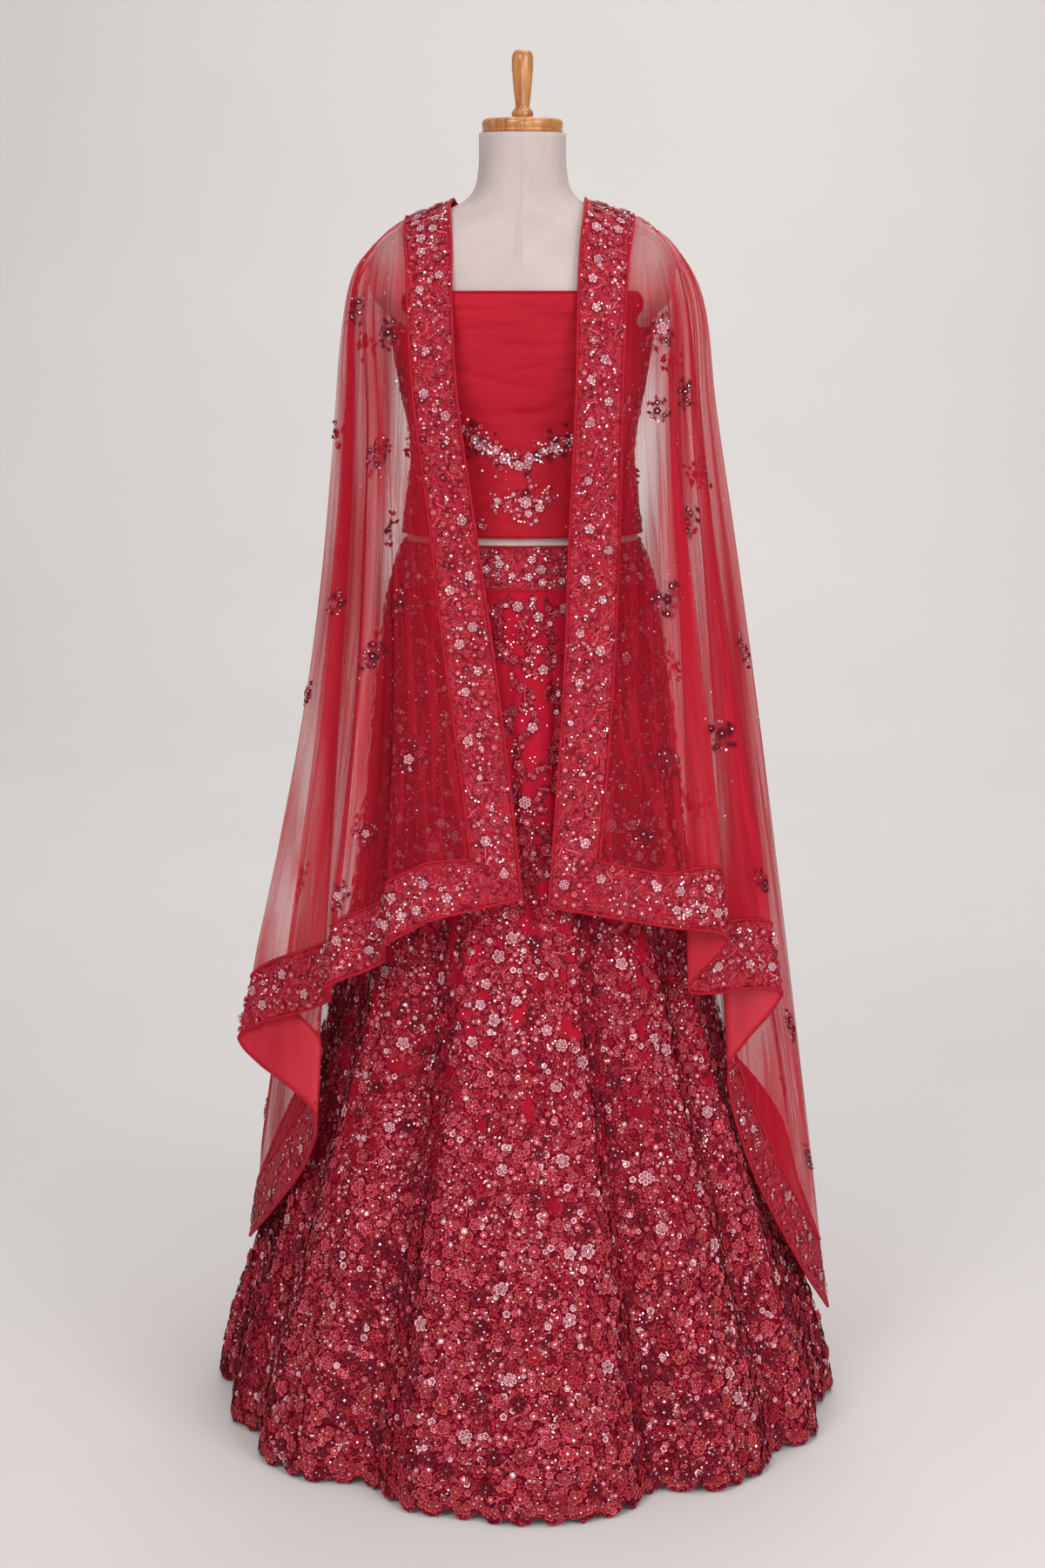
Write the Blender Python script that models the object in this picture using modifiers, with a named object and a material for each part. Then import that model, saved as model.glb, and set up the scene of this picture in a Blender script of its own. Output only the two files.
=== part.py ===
"""Lehenga set on a dress form: a flared skirt of eight gores with a scalloped hem, its lining and
waistband, a strapless blouse cloth, and a net stole with a wide border on all four sides.

Metres, +Z up. The front faces -Y and the origin is the middle of the stand's underside.
A bearing is the angle round the body from the front, towards +X, in degrees.
"""

import math

import bmesh
import bpy
import numpy as np
from mathutils import Vector
from mathutils.bvhtree import BVHTree

SEAM = 0.0003
RING_COLUMNS = 48

# Cloth walls
BLOUSE_WALL = 0.0014
BAND_WALL = 0.0024
GORE_WALL = 0.0016
LINING_WALL = 0.0012
NET_WALL = 0.0010
BORDER_WALL = 0.0024
BORDER_FIELD_SHARE = 0.6  # the embroidered field's thickness, as a share of the piped edge's

# Dress form: (height, half_width, half_depth)
FORM_SECTIONS = [
    (0.790, 0.138, 0.094),
    (0.800, 0.150, 0.104),
    (0.900, 0.158, 0.112),
    (1.000, 0.157, 0.111),
    (1.052, 0.152, 0.106),
    (1.104, 0.143, 0.098),
    (1.150, 0.131, 0.092),
    (1.200, 0.127, 0.091),
    (1.240, 0.132, 0.096),
    (1.290, 0.145, 0.106),
    (1.340, 0.154, 0.112),
    (1.370, 0.158, 0.111),
    (1.390, 0.177, 0.107),
    (1.410, 0.186, 0.102),
    (1.435, 0.187, 0.094),
    (1.460, 0.174, 0.084),
    (1.478, 0.152, 0.076),
    (1.491, 0.124, 0.070),
    (1.502, 0.092, 0.065),
    (1.515, 0.067, 0.060),
    (1.535, 0.0555, 0.057),
    (1.565, 0.0525, 0.0545),
    (1.592, 0.0525, 0.0525),
]
FORM_POWER = 2.2  # 2 is an ellipse, and more is squarer
BUST_HEIGHT, BUST_BEARING, BUST_RISE = 1.300, 33.0, 0.016
BUST_TALL, BUST_WIDE = 0.055, 24.0

CAP_RADIUS, CAP_THICK, CAP_ROUND = 0.0490, 0.0170, 0.0060
# Turned handle on the cap: (radius, height above the cap)
HANDLE_PROFILE = [
    (0.0055, 0.0805),
    (0.0100, 0.0782),
    (0.0124, 0.0731),
    (0.0130, 0.0638),
    (0.0122, 0.0509),
    (0.0105, 0.0324),
    (0.0089, 0.0176),
    (0.0087, 0.0130),
    (0.0104, 0.0108),
    (0.0128, 0.0076),
    (0.0131, 0.0044),
    (0.0120, 0.0000),
]
POLE_RADIUS = 0.0160
BASE_RADIUS, BASE_THICK, BASE_ROUND = 0.150, 0.018, 0.005

# Blouse cloth: (height, slack at the side, slack in front), where slack is its distance from the form
BLOUSE_SLACK = [
    (1.113, 0.0110, 0.0130),
    (1.160, 0.0100, 0.0130),
    (1.210, 0.0070, 0.0090),
    (1.255, 0.0045, 0.0045),
    (1.300, 0.0020, 0.0014),
    (1.340, 0.0012, 0.0012),
    (1.370, 0.0016, 0.0022),
    (1.390, 0.0060, 0.0036),
    (1.405, 0.0012, 0.0012),
]
BLOUSE_HEM, BLOUSE_TOP, BLOUSE_SIDE_TOP = 1.113, 1.405, 1.362
BLOUSE_CORNER = (43.0, 58.0)  # bearings where the top edge rounds down to the side
BLOUSE_ROWS = [1.150, 1.200, 1.240, 1.290, 1.340]  # rows between the hem and the shaped top
BLOUSE_TOP_ROWS = 3

# Waistband: (height, extra half width over the form)
BAND_SECTIONS = [(1.104, 0.0007), (1.080, 0.0060), (1.052, 0.0105)]

# Skirt: (height, half_width, half_depth, share of the flutes' depth)
SKIRT_SECTIONS = [
    (1.0517, 0.1630, 0.1170, 0.00),
    (1.000, 0.1710, 0.1330, 0.08),
    (0.900, 0.1860, 0.1570, 0.20),
    (0.780, 0.2010, 0.1830, 0.36),
    (0.650, 0.2210, 0.2130, 0.52),
    (0.500, 0.2560, 0.2530, 0.68),
    (0.350, 0.3040, 0.3080, 0.80),
    (0.200, 0.3540, 0.3630, 0.92),
    (0.080, 0.3960, 0.4090, 1.00),
    (0.000, 0.4120, 0.4270, 1.00),
]
# Valleys between the skirt's flutes: (bearing, half_width in degrees, depth at the hem)
SKIRT_VALLEYS = [
    (-12, 6, 0.012),
    (-31, 9, 0.052),
    (-47, 5, 0.014),
    (-62, 8, 0.042),
    (-81, 9, 0.048),
    (-100, 7, 0.020),
    (-119, 8, 0.040),
    (-136, 6, 0.024),
    (-151, 6, 0.036),
    (-171, 9, 0.042),
    (14, 4, 0.006),
    (26, 7, 0.052),
    (42, 5, 0.012),
    (54, 6, 0.034),
    (74, 8, 0.030),
    (96, 8, 0.040),
    (119, 8, 0.032),
    (136, 6, 0.030),
    (151, 6, 0.024),
    (170, 8, 0.040),
]
GORES = 8
GORE_COLUMNS = 12  # coarse columns in a gore
FINE_PER_COARSE = 3
SCALLOPS_PER_GORE = 9
SCALLOP_DEPTH = 0.009
GORE_ROW_HEIGHTS = [1.0508, 0.985, 0.900, 0.780, 0.640, 0.490, 0.340, 0.190, 0.085]
SCALLOP_BAND_TOP = 0.040
LINING_GAPS = [(1.049, 0.0008), (1.000, 0.004), (0.780, 0.014), (0.350, 0.036), (0.030, 0.048)]
LINING_ROWS = [1.049, 0.950, 0.780, 0.560, 0.300, 0.030]

# Stole
BORDER_WIDTH = 0.060
STOLE_SEAM = 0.0010
STOLE_CLEARANCE = 0.0014
NET_SHARES = (0.0, 0.035, 0.075, 0.12, 0.20, 0.33, 0.50, 0.67, 0.84, 1.0)  # rows down the net
BORDER_STEPS = (0.0, 0.09, 0.91, 1.0)  # across the border: piping, field, piping
# Edges of the border that falls in front: (x, y, height), from the shoulder ridge down.
# The inner edge ends at the stole's corner and the outer edge at the mitre's inner end.
RIGHT_INNER_EDGE = [
    (0.076, 0.002, 1.514),
    (0.070, -0.062, 1.484),
    (0.066, -0.106, 1.405),
    (0.063, -0.142, 1.325),
    (0.062, -0.152, 1.245),
    (0.057, -0.146, 1.160),
    (0.053, -0.158, 1.025),
    (0.043, -0.194, 0.847),
    (0.031, -0.232, 0.690),
]
RIGHT_OUTER_EDGE = [
    (0.134, 0.002, 1.495),
    (0.127, -0.062, 1.462),
    (0.122, -0.098, 1.390),
    (0.118, -0.130, 1.310),
    (0.116, -0.141, 1.230),
    (0.116, -0.139, 1.145),
    (0.111, -0.152, 1.010),
    (0.103, -0.184, 0.880),
    (0.091, -0.222, 0.742),
]
LEFT_INNER_EDGE = [
    (-0.082, 0.002, 1.512),
    (-0.084, -0.062, 1.480),
    (-0.084, -0.105, 1.400),
    (-0.080, -0.140, 1.320),
    (-0.072, -0.152, 1.240),
    (-0.062, -0.146, 1.170),
    (-0.040, -0.160, 1.020),
    (-0.019, -0.194, 0.860),
    (-0.001, -0.232, 0.700),
]
LEFT_OUTER_EDGE = [
    (-0.140, 0.002, 1.493),
    (-0.138, -0.062, 1.458),
    (-0.136, -0.098, 1.390),
    (-0.131, -0.130, 1.310),
    (-0.124, -0.141, 1.240),
    (-0.114, -0.140, 1.165),
    (-0.098, -0.154, 1.020),
    (-0.080, -0.186, 0.890),
    (-0.061, -0.224, 0.745),
]
# The border behind the neck, from the right shoulder to the left: (x, y, height) of both edges
NECK_INNER_EDGE = [
    (0.072, 0.040, 1.505),
    (0.045, 0.066, 1.498),
    (0.000, 0.076, 1.496),
    (-0.045, 0.066, 1.498),
    (-0.076, 0.040, 1.504),
]
NECK_OUTER_EDGE = [
    (0.126, 0.050, 1.478),
    (0.075, 0.088, 1.452),
    (0.000, 0.100, 1.440),
    (-0.078, 0.088, 1.452),
    (-0.130, 0.050, 1.477),
]
# Lines that the net hangs along, from the right front round the back to the left front: where each
# leaves the neck border (a share of the way from its right end to its left), its place at three
# heights, its lower end, and whether it is the cloth's corner.
LEVELS = (1.430, 1.250, 0.950)
# (start, x, y at 1.43, x, y at 1.25, x, y at 0.95, end x, end y, end height, name)
HANG_LINES = [
    (0.030, 0.1395, -0.083, 0.138, -0.140, 0.150, -0.180, 0.170, -0.226, 0.665, "right_flat"),
    (0.043, 0.1600, -0.080, 0.176, -0.125, 0.212, -0.165, 0.244, -0.206, 0.645, "right_turn_1"),
    (0.055, 0.1700, -0.068, 0.174, -0.104, 0.188, -0.140, 0.200, -0.182, 0.574, "right_fold_1"),
    (0.067, 0.1830, -0.052, 0.206, -0.078, 0.254, -0.098, 0.317, -0.132, 0.560, "right_turn_2"),
    (0.081, 0.1880, -0.036, 0.200, -0.052, 0.226, -0.078, 0.252, -0.140, 0.452, "right_fold_2"),
    (0.099, 0.2020, -0.012, 0.233, -0.014, 0.279, -0.018, 0.394, -0.030, 0.112, "right_corner"),
    (0.123, 0.1960, 0.012, 0.218, 0.012, 0.250, 0.022, 0.374, 0.078, 0.176, "right_fold_3"),
    (0.150, 0.1900, 0.036, 0.216, 0.046, 0.256, 0.066, 0.352, 0.152, 0.240, "right_turn_3"),
    (0.200, 0.1700, 0.062, 0.182, 0.082, 0.200, 0.108, 0.270, 0.206, 0.335, "right_back_fold"),
    (0.260, 0.1380, 0.086, 0.146, 0.112, 0.168, 0.148, 0.204, 0.270, 0.405, "right_back_turn"),
    (0.340, 0.0920, 0.102, 0.094, 0.122, 0.100, 0.162, 0.116, 0.268, 0.465, "back_fold_1"),
    (0.420, 0.0480, 0.108, 0.048, 0.136, 0.050, 0.186, 0.056, 0.296, 0.490, "back_turn_1"),
    (0.500, 0.0020, 0.108, 0.002, 0.130, 0.002, 0.170, 0.002, 0.276, 0.495, "back_middle"),
    (0.580, -0.0460, 0.108, -0.046, 0.136, -0.048, 0.186, -0.054, 0.296, 0.488, "back_turn_2"),
    (0.660, -0.0900, 0.102, -0.092, 0.122, -0.100, 0.162, -0.118, 0.268, 0.462, "back_fold_2"),
    (0.740, -0.1380, 0.086, -0.146, 0.112, -0.168, 0.148, -0.214, 0.268, 0.395, "left_back_turn"),
    (0.800, -0.1700, 0.062, -0.182, 0.082, -0.198, 0.108, -0.302, 0.190, 0.285, "left_back_fold"),
    (0.850, -0.1900, 0.034, -0.214, 0.046, -0.244, 0.062, -0.352, 0.100, 0.190, "left_corner"),
    (0.880, -0.1950, 0.008, -0.212, 0.010, -0.234, 0.016, -0.345, -0.036, 0.215, "left_turn_3"),
    (0.905, -0.1940, -0.012, -0.204, -0.018, -0.222, -0.040, -0.252, -0.160, 0.405, "left_fold_2"),
    (0.925, -0.2000, -0.030, -0.222, -0.050, -0.254, -0.072, -0.352, -0.104, 0.492, "left_turn_2"),
    (0.937, -0.1850, -0.054, -0.186, -0.092, -0.196, -0.138, -0.234, -0.176, 0.560, "left_fold_1"),
    (0.948, -0.1790, -0.066, -0.180, -0.110, -0.194, -0.158, -0.236, -0.200, 0.584, "left_turn_1"),
    (0.958, -0.1660, -0.077, -0.160, -0.124, -0.152, -0.168, -0.166, -0.210, 0.618, "left_step"),
    (0.967, -0.1580, -0.082, -0.156, -0.132, -0.150, -0.182, -0.164, -0.232, 0.642, "left_ridge"),
    (0.976, -0.1480, -0.086, -0.144, -0.142, -0.120, -0.184, -0.106, -0.238, 0.676, "left_flat"),
]
STEPS_PER_LINE = 3
LONGEST_RUN = 1.7  # the border's longest run along a line, in border widths
BACK_SPLITS = ("right_back_turn", "left_back_turn")

# name: (red, green, blue), roughness, metallic
FINISHES = {
    "linen": ((0.62, 0.55, 0.52), 0.90, 0.0),
    "wood": ((0.36, 0.14, 0.03), 0.35, 0.0),
    "iron": ((0.05, 0.05, 0.05), 0.50, 0.8),
    "steel": ((0.55, 0.55, 0.56), 0.30, 1.0),
    "satin": ((0.43, 0.012, 0.026), 0.45, 0.0),
    "embroidery": ((0.30, 0.010, 0.022), 0.60, 0.0),
    "lining": ((0.50, 0.012, 0.026), 0.50, 0.0),
    "net": ((0.40, 0.008, 0.026), 0.70, 0.0),
}


def clear_scene():
    for thing in list(bpy.data.objects):
        bpy.data.objects.remove(thing, do_unlink=True)
    group = bpy.data.collections.new("lehenga")
    bpy.context.scene.collection.children.link(group)
    return group


def make_finishes():
    made = {}
    for name, (colour, roughness, metallic) in FINISHES.items():
        made[name] = bpy.data.materials.new(name)
        made[name].use_nodes = True
        shader = made[name].node_tree.nodes["Principled BSDF"]
        shader.inputs["Base Color"].default_value = (*colour, 1.0)
        shader.inputs["Roughness"].default_value = roughness
        shader.inputs["Metallic"].default_value = metallic
    return made


def through(places, values):
    """A smooth curve through the values that doesn't overshoot between them (monotone cubic)."""
    order = np.argsort(places)
    x, y = np.array(places, float)[order], np.array(values, float)[order]
    step, rise = np.diff(x), np.diff(y, axis=0)
    grade = rise / step
    slope = np.zeros_like(y)
    slope[0], slope[-1] = grade[0], grade[-1]
    for i in range(1, len(x) - 1):
        if grade[i - 1] * grade[i] > 0:
            slope[i] = 2 / (1 / grade[i - 1] + 1 / grade[i])

    def value(at):
        i = int(np.clip(np.searchsorted(x, at) - 1, 0, len(step) - 1))
        t = float(np.clip((at - x[i]) / step[i], 0, 1))
        a, b = 1 - 3 * t**2 + 2 * t**3, 3 * t**2 - 2 * t**3
        ends = a * y[i] + b * y[i + 1]
        return ends + step[i] * ((t - 2 * t**2 + t**3) * slope[i] + (t**3 - t**2) * slope[i + 1])

    return value


def columns_of(table):
    """One smooth curve for each column of a table, by its first column."""
    places = [row[0] for row in table]
    return [through(places, [row[i] for row in table]) for i in range(1, len(table[0]))]


def round_curve(points, steps):
    """Points on a centripetal Catmull-Rom curve through the given ones, with steps between each two."""
    p = [np.array(q, float) for q in points]
    p = [2 * p[0] - p[1]] + p + [2 * p[-1] - p[-2]]
    made = []
    for p0, p1, p2, p3 in zip(p, p[1:], p[2:], p[3:]):
        k1 = max(np.linalg.norm((p1 - p0)[:3]), 1e-6) ** 0.5
        k2 = k1 + max(np.linalg.norm((p2 - p1)[:3]), 1e-6) ** 0.5
        k3 = k2 + max(np.linalg.norm((p3 - p2)[:3]), 1e-6) ** 0.5
        for step in range(steps):
            t = k1 + (k2 - k1) * step / steps
            a1 = (p0 * (k1 - t) + p1 * t) / k1
            a2 = (p1 * (k2 - t) + p2 * (t - k1)) / (k2 - k1)
            a3 = (p2 * (k3 - t) + p3 * (t - k2)) / (k3 - k2)
            b1 = (a1 * (k2 - t) + a2 * t) / k2
            b2 = (a2 * (k3 - t) + a3 * (t - k1)) / (k3 - k1)
            made.append((b1 * (k2 - t) + b2 * (t - k1)) / (k2 - k1))
    made.append(p[-2])
    return made


def ring_point(half_width, half_depth, bearing, height, power=2.0):
    """A point on a rounded-square ring round the body."""
    angle = math.radians(bearing)
    s, c = math.sin(angle), math.cos(angle)
    x = half_width * math.copysign(abs(s) ** (2 / power), s)
    y = -half_depth * math.copysign(abs(c) ** (2 / power), c)
    return Vector((x, y, height))


form_width, form_depth = columns_of(FORM_SECTIONS)
skirt_width, skirt_depth, flute_share = columns_of(SKIRT_SECTIONS)


def form_point(bearing, height, out=0.0):
    """A point on the dress form, or at a distance out from it."""
    point = ring_point(form_width(height) + out, form_depth(height) + out, bearing, height, FORM_POWER)
    turn = (bearing + 180) % 360 - 180
    side = (abs(turn) - BUST_BEARING) / BUST_WIDE
    rise = BUST_RISE * math.exp(-(side**2) - ((height - BUST_HEIGHT) / BUST_TALL) ** 2)
    flat = Vector((point.x, point.y, 0))
    return point + flat.normalized() * rise


def valley_depth(bearing):
    """How far the skirt's surface lies in from its widest line at the hem."""
    total = 0.0
    for centre, half, depth in SKIRT_VALLEYS:
        off = (bearing - centre + 180) % 360 - 180
        total += depth * math.exp(-((off / half) ** 2))
    return total


def skirt_point(bearing, height, inward=0.0):
    """A point on the skirt's inner face, or at a distance in from it."""
    back = inward + valley_depth(bearing) * flute_share(height)
    return ring_point(skirt_width(height) - back, skirt_depth(height) - back, bearing, height)


def grid_faces(rows, columns, closed=False, flip=False):
    """Quads of a grid whose points run row by row."""
    made = []
    for r in range(rows - 1):
        for c in range(columns if closed else columns - 1):
            d = (c + 1) % columns
            quad = [r * columns + c, (r + 1) * columns + c, (r + 1) * columns + d, r * columns + d]
            made.append(quad[::-1] if flip else quad)
    return made


def add_mesh(group, name, points, faces, material):
    mesh = bpy.data.meshes.new(name)
    mesh.from_pydata([tuple(p) for p in points], [], faces)
    mesh.materials.append(material)
    mesh.shade_smooth()
    thing = bpy.data.objects.new(name, mesh)
    group.objects.link(thing)
    return thing


def thicken(thing, wall, raised=None):
    """Makes a sheet a wall. The sheet is its inner face; raised points get the whole thickness."""
    solid = thing.modifiers.new("wall", "SOLIDIFY")
    solid.thickness = wall
    solid.offset = 1.0
    solid.use_quality_normals = True
    if raised is not None:
        rim = thing.vertex_groups.new(name="piping")
        rim.add(raised, 1.0, "REPLACE")
        solid.vertex_group = "piping"
        solid.thickness_vertex_group = BORDER_FIELD_SHARE
    return thing


def grid_sheet(group, name, rows, material, wall, flip=False, raised=None):
    """A wall from rows of points."""
    points = [p for row in rows for p in row]
    thing = add_mesh(group, name, points, grid_faces(len(rows), len(rows[0]), flip=flip), material)
    return thicken(thing, wall, raised)


def spin_profile(group, name, profile, height, material, steps):
    """A turned solid from (radius, height) points that run down its outer side."""
    points = [(0, 0, height + profile[0][1])]
    points += [(r, 0, height + z) for r, z in profile]
    points += [(0, 0, height + profile[-1][1])]
    mesh = bpy.data.meshes.new(name)
    mesh.from_pydata(points, [(i, i + 1) for i in range(len(points) - 1)], [])
    mesh.materials.append(material)
    thing = bpy.data.objects.new(name, mesh)
    group.objects.link(thing)
    screw = thing.modifiers.new("turn", "SCREW")
    screw.steps = screw.render_steps = steps
    screw.use_merge_vertices = True
    screw.merge_threshold = 0.00005
    screw.use_smooth_shade = True
    return thing


def rounded_disc(radius, thick, rounding, steps=3):
    """Profile of a disc whose top edge is rounded."""
    made = []
    for i in range(steps + 1):
        turn = math.radians(90 * i / steps)
        r = radius - rounding + rounding * math.sin(turn)
        made.append((r, thick - rounding + rounding * math.cos(turn)))
    return made + [(radius, 0.0)]


def make_form(group, finish):
    bearings = [360 * c / RING_COLUMNS for c in range(RING_COLUMNS)]
    heights = [row[0] for row in reversed(FORM_SECTIONS)]
    points = [form_point(b, z) for z in heights for b in bearings]
    faces = grid_faces(len(heights), RING_COLUMNS, closed=True)
    last = (len(heights) - 1) * RING_COLUMNS
    faces.append(list(range(RING_COLUMNS)))
    faces.append([last + c for c in reversed(range(RING_COLUMNS))])
    torso = add_mesh(group, "form_torso", points, faces, finish["linen"])
    top, bottom = heights[0], heights[-1]
    cap_at = top + SEAM
    spin_profile(
        group, "form_neck_cap", rounded_disc(CAP_RADIUS, CAP_THICK, CAP_ROUND), cap_at, finish["wood"], 28
    )
    handle_at = cap_at + CAP_THICK + SEAM
    spin_profile(group, "form_handle", HANDLE_PROFILE, handle_at, finish["wood"], 16)
    base = rounded_disc(BASE_RADIUS, BASE_THICK, BASE_ROUND, 2)
    spin_profile(group, "stand_base", base, 0.0, finish["iron"], 32)
    foot, head = BASE_THICK + SEAM, bottom - SEAM
    bpy.ops.mesh.primitive_cylinder_add(
        vertices=20, radius=POLE_RADIUS, depth=head - foot, location=(0, 0, (foot + head) / 2)
    )
    pole = bpy.context.active_object
    pole.name = pole.data.name = "stand_pole"
    pole.data.materials.append(finish["steel"])
    for owner in list(pole.users_collection):
        owner.objects.unlink(pole)
    group.objects.link(pole)
    return torso


def blouse_top(bearing):
    """Height of the blouse cloth's upper edge, which dips under the arms."""
    turn = abs((bearing + 180) % 360 - 180)
    start, end = BLOUSE_CORNER
    share = min(1.0, max(0.0, (turn - start) / (end - start)))
    return BLOUSE_TOP + (BLOUSE_SIDE_TOP - BLOUSE_TOP) * (3 * share**2 - 2 * share**3)


def blouse_row_height(row, bearing):
    """Height of a row of the blouse cloth: level rows low down, then rows that follow its top."""
    level = [BLOUSE_HEM, *BLOUSE_ROWS]
    if row < len(level):
        return level[row]
    share = (row - len(level) + 1) / BLOUSE_TOP_ROWS
    return level[-1] + (blouse_top(bearing) - level[-1]) * share


def make_blouse(group, finish):
    side_slack, front_slack = columns_of(BLOUSE_SLACK)
    made = []
    per_half = RING_COLUMNS // 2
    for name, first in (("blouse_front", -90.0), ("blouse_back", 90.0)):
        rows = []
        for r in range(len(BLOUSE_ROWS) + 1 + BLOUSE_TOP_ROWS):
            row = []
            for c in range(per_half + 1):
                bearing = first + 180 * c / per_half
                height = blouse_row_height(r, bearing)
                flat = abs(math.sin(math.radians(bearing)))
                slack = front_slack(height) * (1 - flat) + side_slack(height) * flat
                row.append(form_point(bearing, height, slack))
            inset_ends(row)
            rows.append(row)
        made.append(grid_sheet(group, name, rows[::-1], finish["satin"], BLOUSE_WALL))
    return made


def inset_ends(row, turns=(0.0, 0.0), wall=0.0):
    """Leaves half a seam's gap at both ends of a row of points, and more where the wall turns in."""
    for (end, beside), turn in zip(((0, 1), (-1, -2)), turns):
        gap = SEAM / 2 + wall * math.sin(max(0.0, turn) / 2)
        row[end] = row[end] + (row[beside] - row[end]).normalized() * gap


def make_waistband(group, finish):
    made = []
    per_half = RING_COLUMNS // 2
    for name, first in (("waistband_front", -90.0), ("waistband_back", 90.0)):
        rows = []
        for height, out in BAND_SECTIONS:
            row = [form_point(first + 180 * c / per_half, height, out) for c in range(per_half + 1)]
            inset_ends(row)
            rows.append(row)
        made.append(grid_sheet(group, name, rows, finish["embroidery"], BAND_WALL))
    return made


def scallop_height(share):
    """Height of the hem's edge at a share of the way across a gore."""
    arch = abs(math.sin(math.pi * SCALLOPS_PER_GORE * share))
    return SCALLOP_DEPTH * (1 - arch)


def inward_turn(bearing, step, height):
    """How sharply the skirt turns into a valley at a bearing, in radians."""
    before, at, after = (skirt_point(bearing + step * k, height) for k in (-1, 0, 1))
    a, b = at - before, after - at
    return -math.atan2(a.x * b.y - a.y * b.x, a.x * b.x + a.y * b.y)


def make_gore(group, finish, number):
    """One skirt panel. Its lowest band has more columns, for the scallops."""
    first = -180.0 / GORES + 360.0 * number / GORES
    wide = 360.0 / GORES
    points, faces = [], []
    coarse = GORE_COLUMNS + 1
    for height in GORE_ROW_HEIGHTS:
        step = wide / GORE_COLUMNS
        row = [skirt_point(first + step * c, height) for c in range(coarse)]
        turns = [inward_turn(bearing, step, height) for bearing in (first, first + wide)]
        inset_ends(row, turns, GORE_WALL)
        points += row
    rows = len(GORE_ROW_HEIGHTS)
    faces += grid_faces(rows, coarse)
    fine = GORE_COLUMNS * FINE_PER_COARSE + 1
    for level in (0, 1):
        row = []
        for c in range(fine):
            share = c / (fine - 1)
            height = scallop_height(share) if level else SCALLOP_BAND_TOP
            row.append(skirt_point(first + wide * share, height))
        step = wide / GORE_COLUMNS
        turns = [inward_turn(bearing, step, height) for bearing in (first, first + wide)]
        inset_ends(row, turns, GORE_WALL)
        points += row
    above, below = (rows - 1) * coarse, rows * coarse
    for c in range(GORE_COLUMNS):
        start = below + c * FINE_PER_COARSE
        fan = [start + k for k in range(FINE_PER_COARSE + 1)]
        middle = fan[1:-1]
        faces.append([above + c, fan[0], middle[0]])
        faces.append([above + c, middle[0], middle[-1], above + c + 1])
        faces.append([above + c + 1, middle[-1], fan[-1]])
    faces += [[below + i for i in quad] for quad in grid_faces(2, fine)]
    thing = add_mesh(group, f"skirt_gore_{number + 1}", points, faces, finish["embroidery"])
    return thicken(thing, GORE_WALL)


def make_lining(group, finish):
    """The plain skirt under the embroidered net, open at its hem."""
    gap = through([row[0] for row in LINING_GAPS], [row[1] for row in LINING_GAPS])
    bearings = [360 * c / RING_COLUMNS for c in range(RING_COLUMNS)]
    points = []
    for height in LINING_ROWS:
        share = flute_share(height)
        for bearing in bearings:
            inward = gap(height) + LINING_WALL - 0.6 * valley_depth(bearing) * share
            points.append(skirt_point(bearing, height, inward))
    faces = grid_faces(len(LINING_ROWS), RING_COLUMNS, closed=True)
    return thicken(add_mesh(group, "skirt_lining", points, faces, finish["lining"]), LINING_WALL)


def worn_surface(things):
    """A search tree of the faces that the stole lies over, as modified."""
    graph = bpy.context.evaluated_depsgraph_get()
    points, faces = [], []
    for thing in things:
        shown = thing.evaluated_get(graph)
        mesh = shown.to_mesh()
        start = len(points)
        points += [v.co.copy() for v in mesh.vertices]
        faces += [[start + i for i in p.vertices] for p in mesh.polygons]
        shown.to_mesh_clear()
    return BVHTree.FromPolygons(points, faces)


def settle(grid, below, fixed):
    """Moves the points of a grid out until it clears what it lies over, between its points too."""
    spots = []
    for i, column in enumerate(grid):
        for j in range(len(column)):
            spots.append([(i, j)])
            if i + 1 < len(grid):
                spots.append([(i, j), (i + 1, j)])
            if j + 1 < len(column):
                spots.append([(i, j), (i, j + 1)])
            if i + 1 < len(grid) and j + 1 < len(column):
                spots.append([(i, j), (i + 1, j + 1)])
                spots.append([(i + 1, j), (i, j + 1)])
    for _ in range(12):
        for spot in spots:
            middle = sum((grid[i][j] for i, j in spot), Vector()) / len(spot)
            near, normal, _, _ = below.find_nearest(middle)
            short = STOLE_CLEARANCE - (middle - near).dot(normal)
            if short <= 0 or (middle - near).length > 0.05:
                continue
            free = [at for at in spot if at not in fixed]
            for i, j in free:
                grid[i][j] = grid[i][j] + normal * short * len(spot) / max(1, len(free)) * 0.7
    return grid


def along(points, shares):
    """Points at shares of the length of a polyline."""
    p = [np.array(q, float) for q in points]
    reach = np.concatenate([[0.0], np.cumsum([np.linalg.norm(b - a) for a, b in zip(p, p[1:])])])
    p = np.array(p)
    return [
        Vector([float(np.interp(s * reach[-1], reach, p[:, k])) for k in range(3)]) for s in shares
    ]


def length_of(points):
    return sum((Vector(b) - Vector(a)).length for a, b in zip(points, points[1:]))


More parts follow.
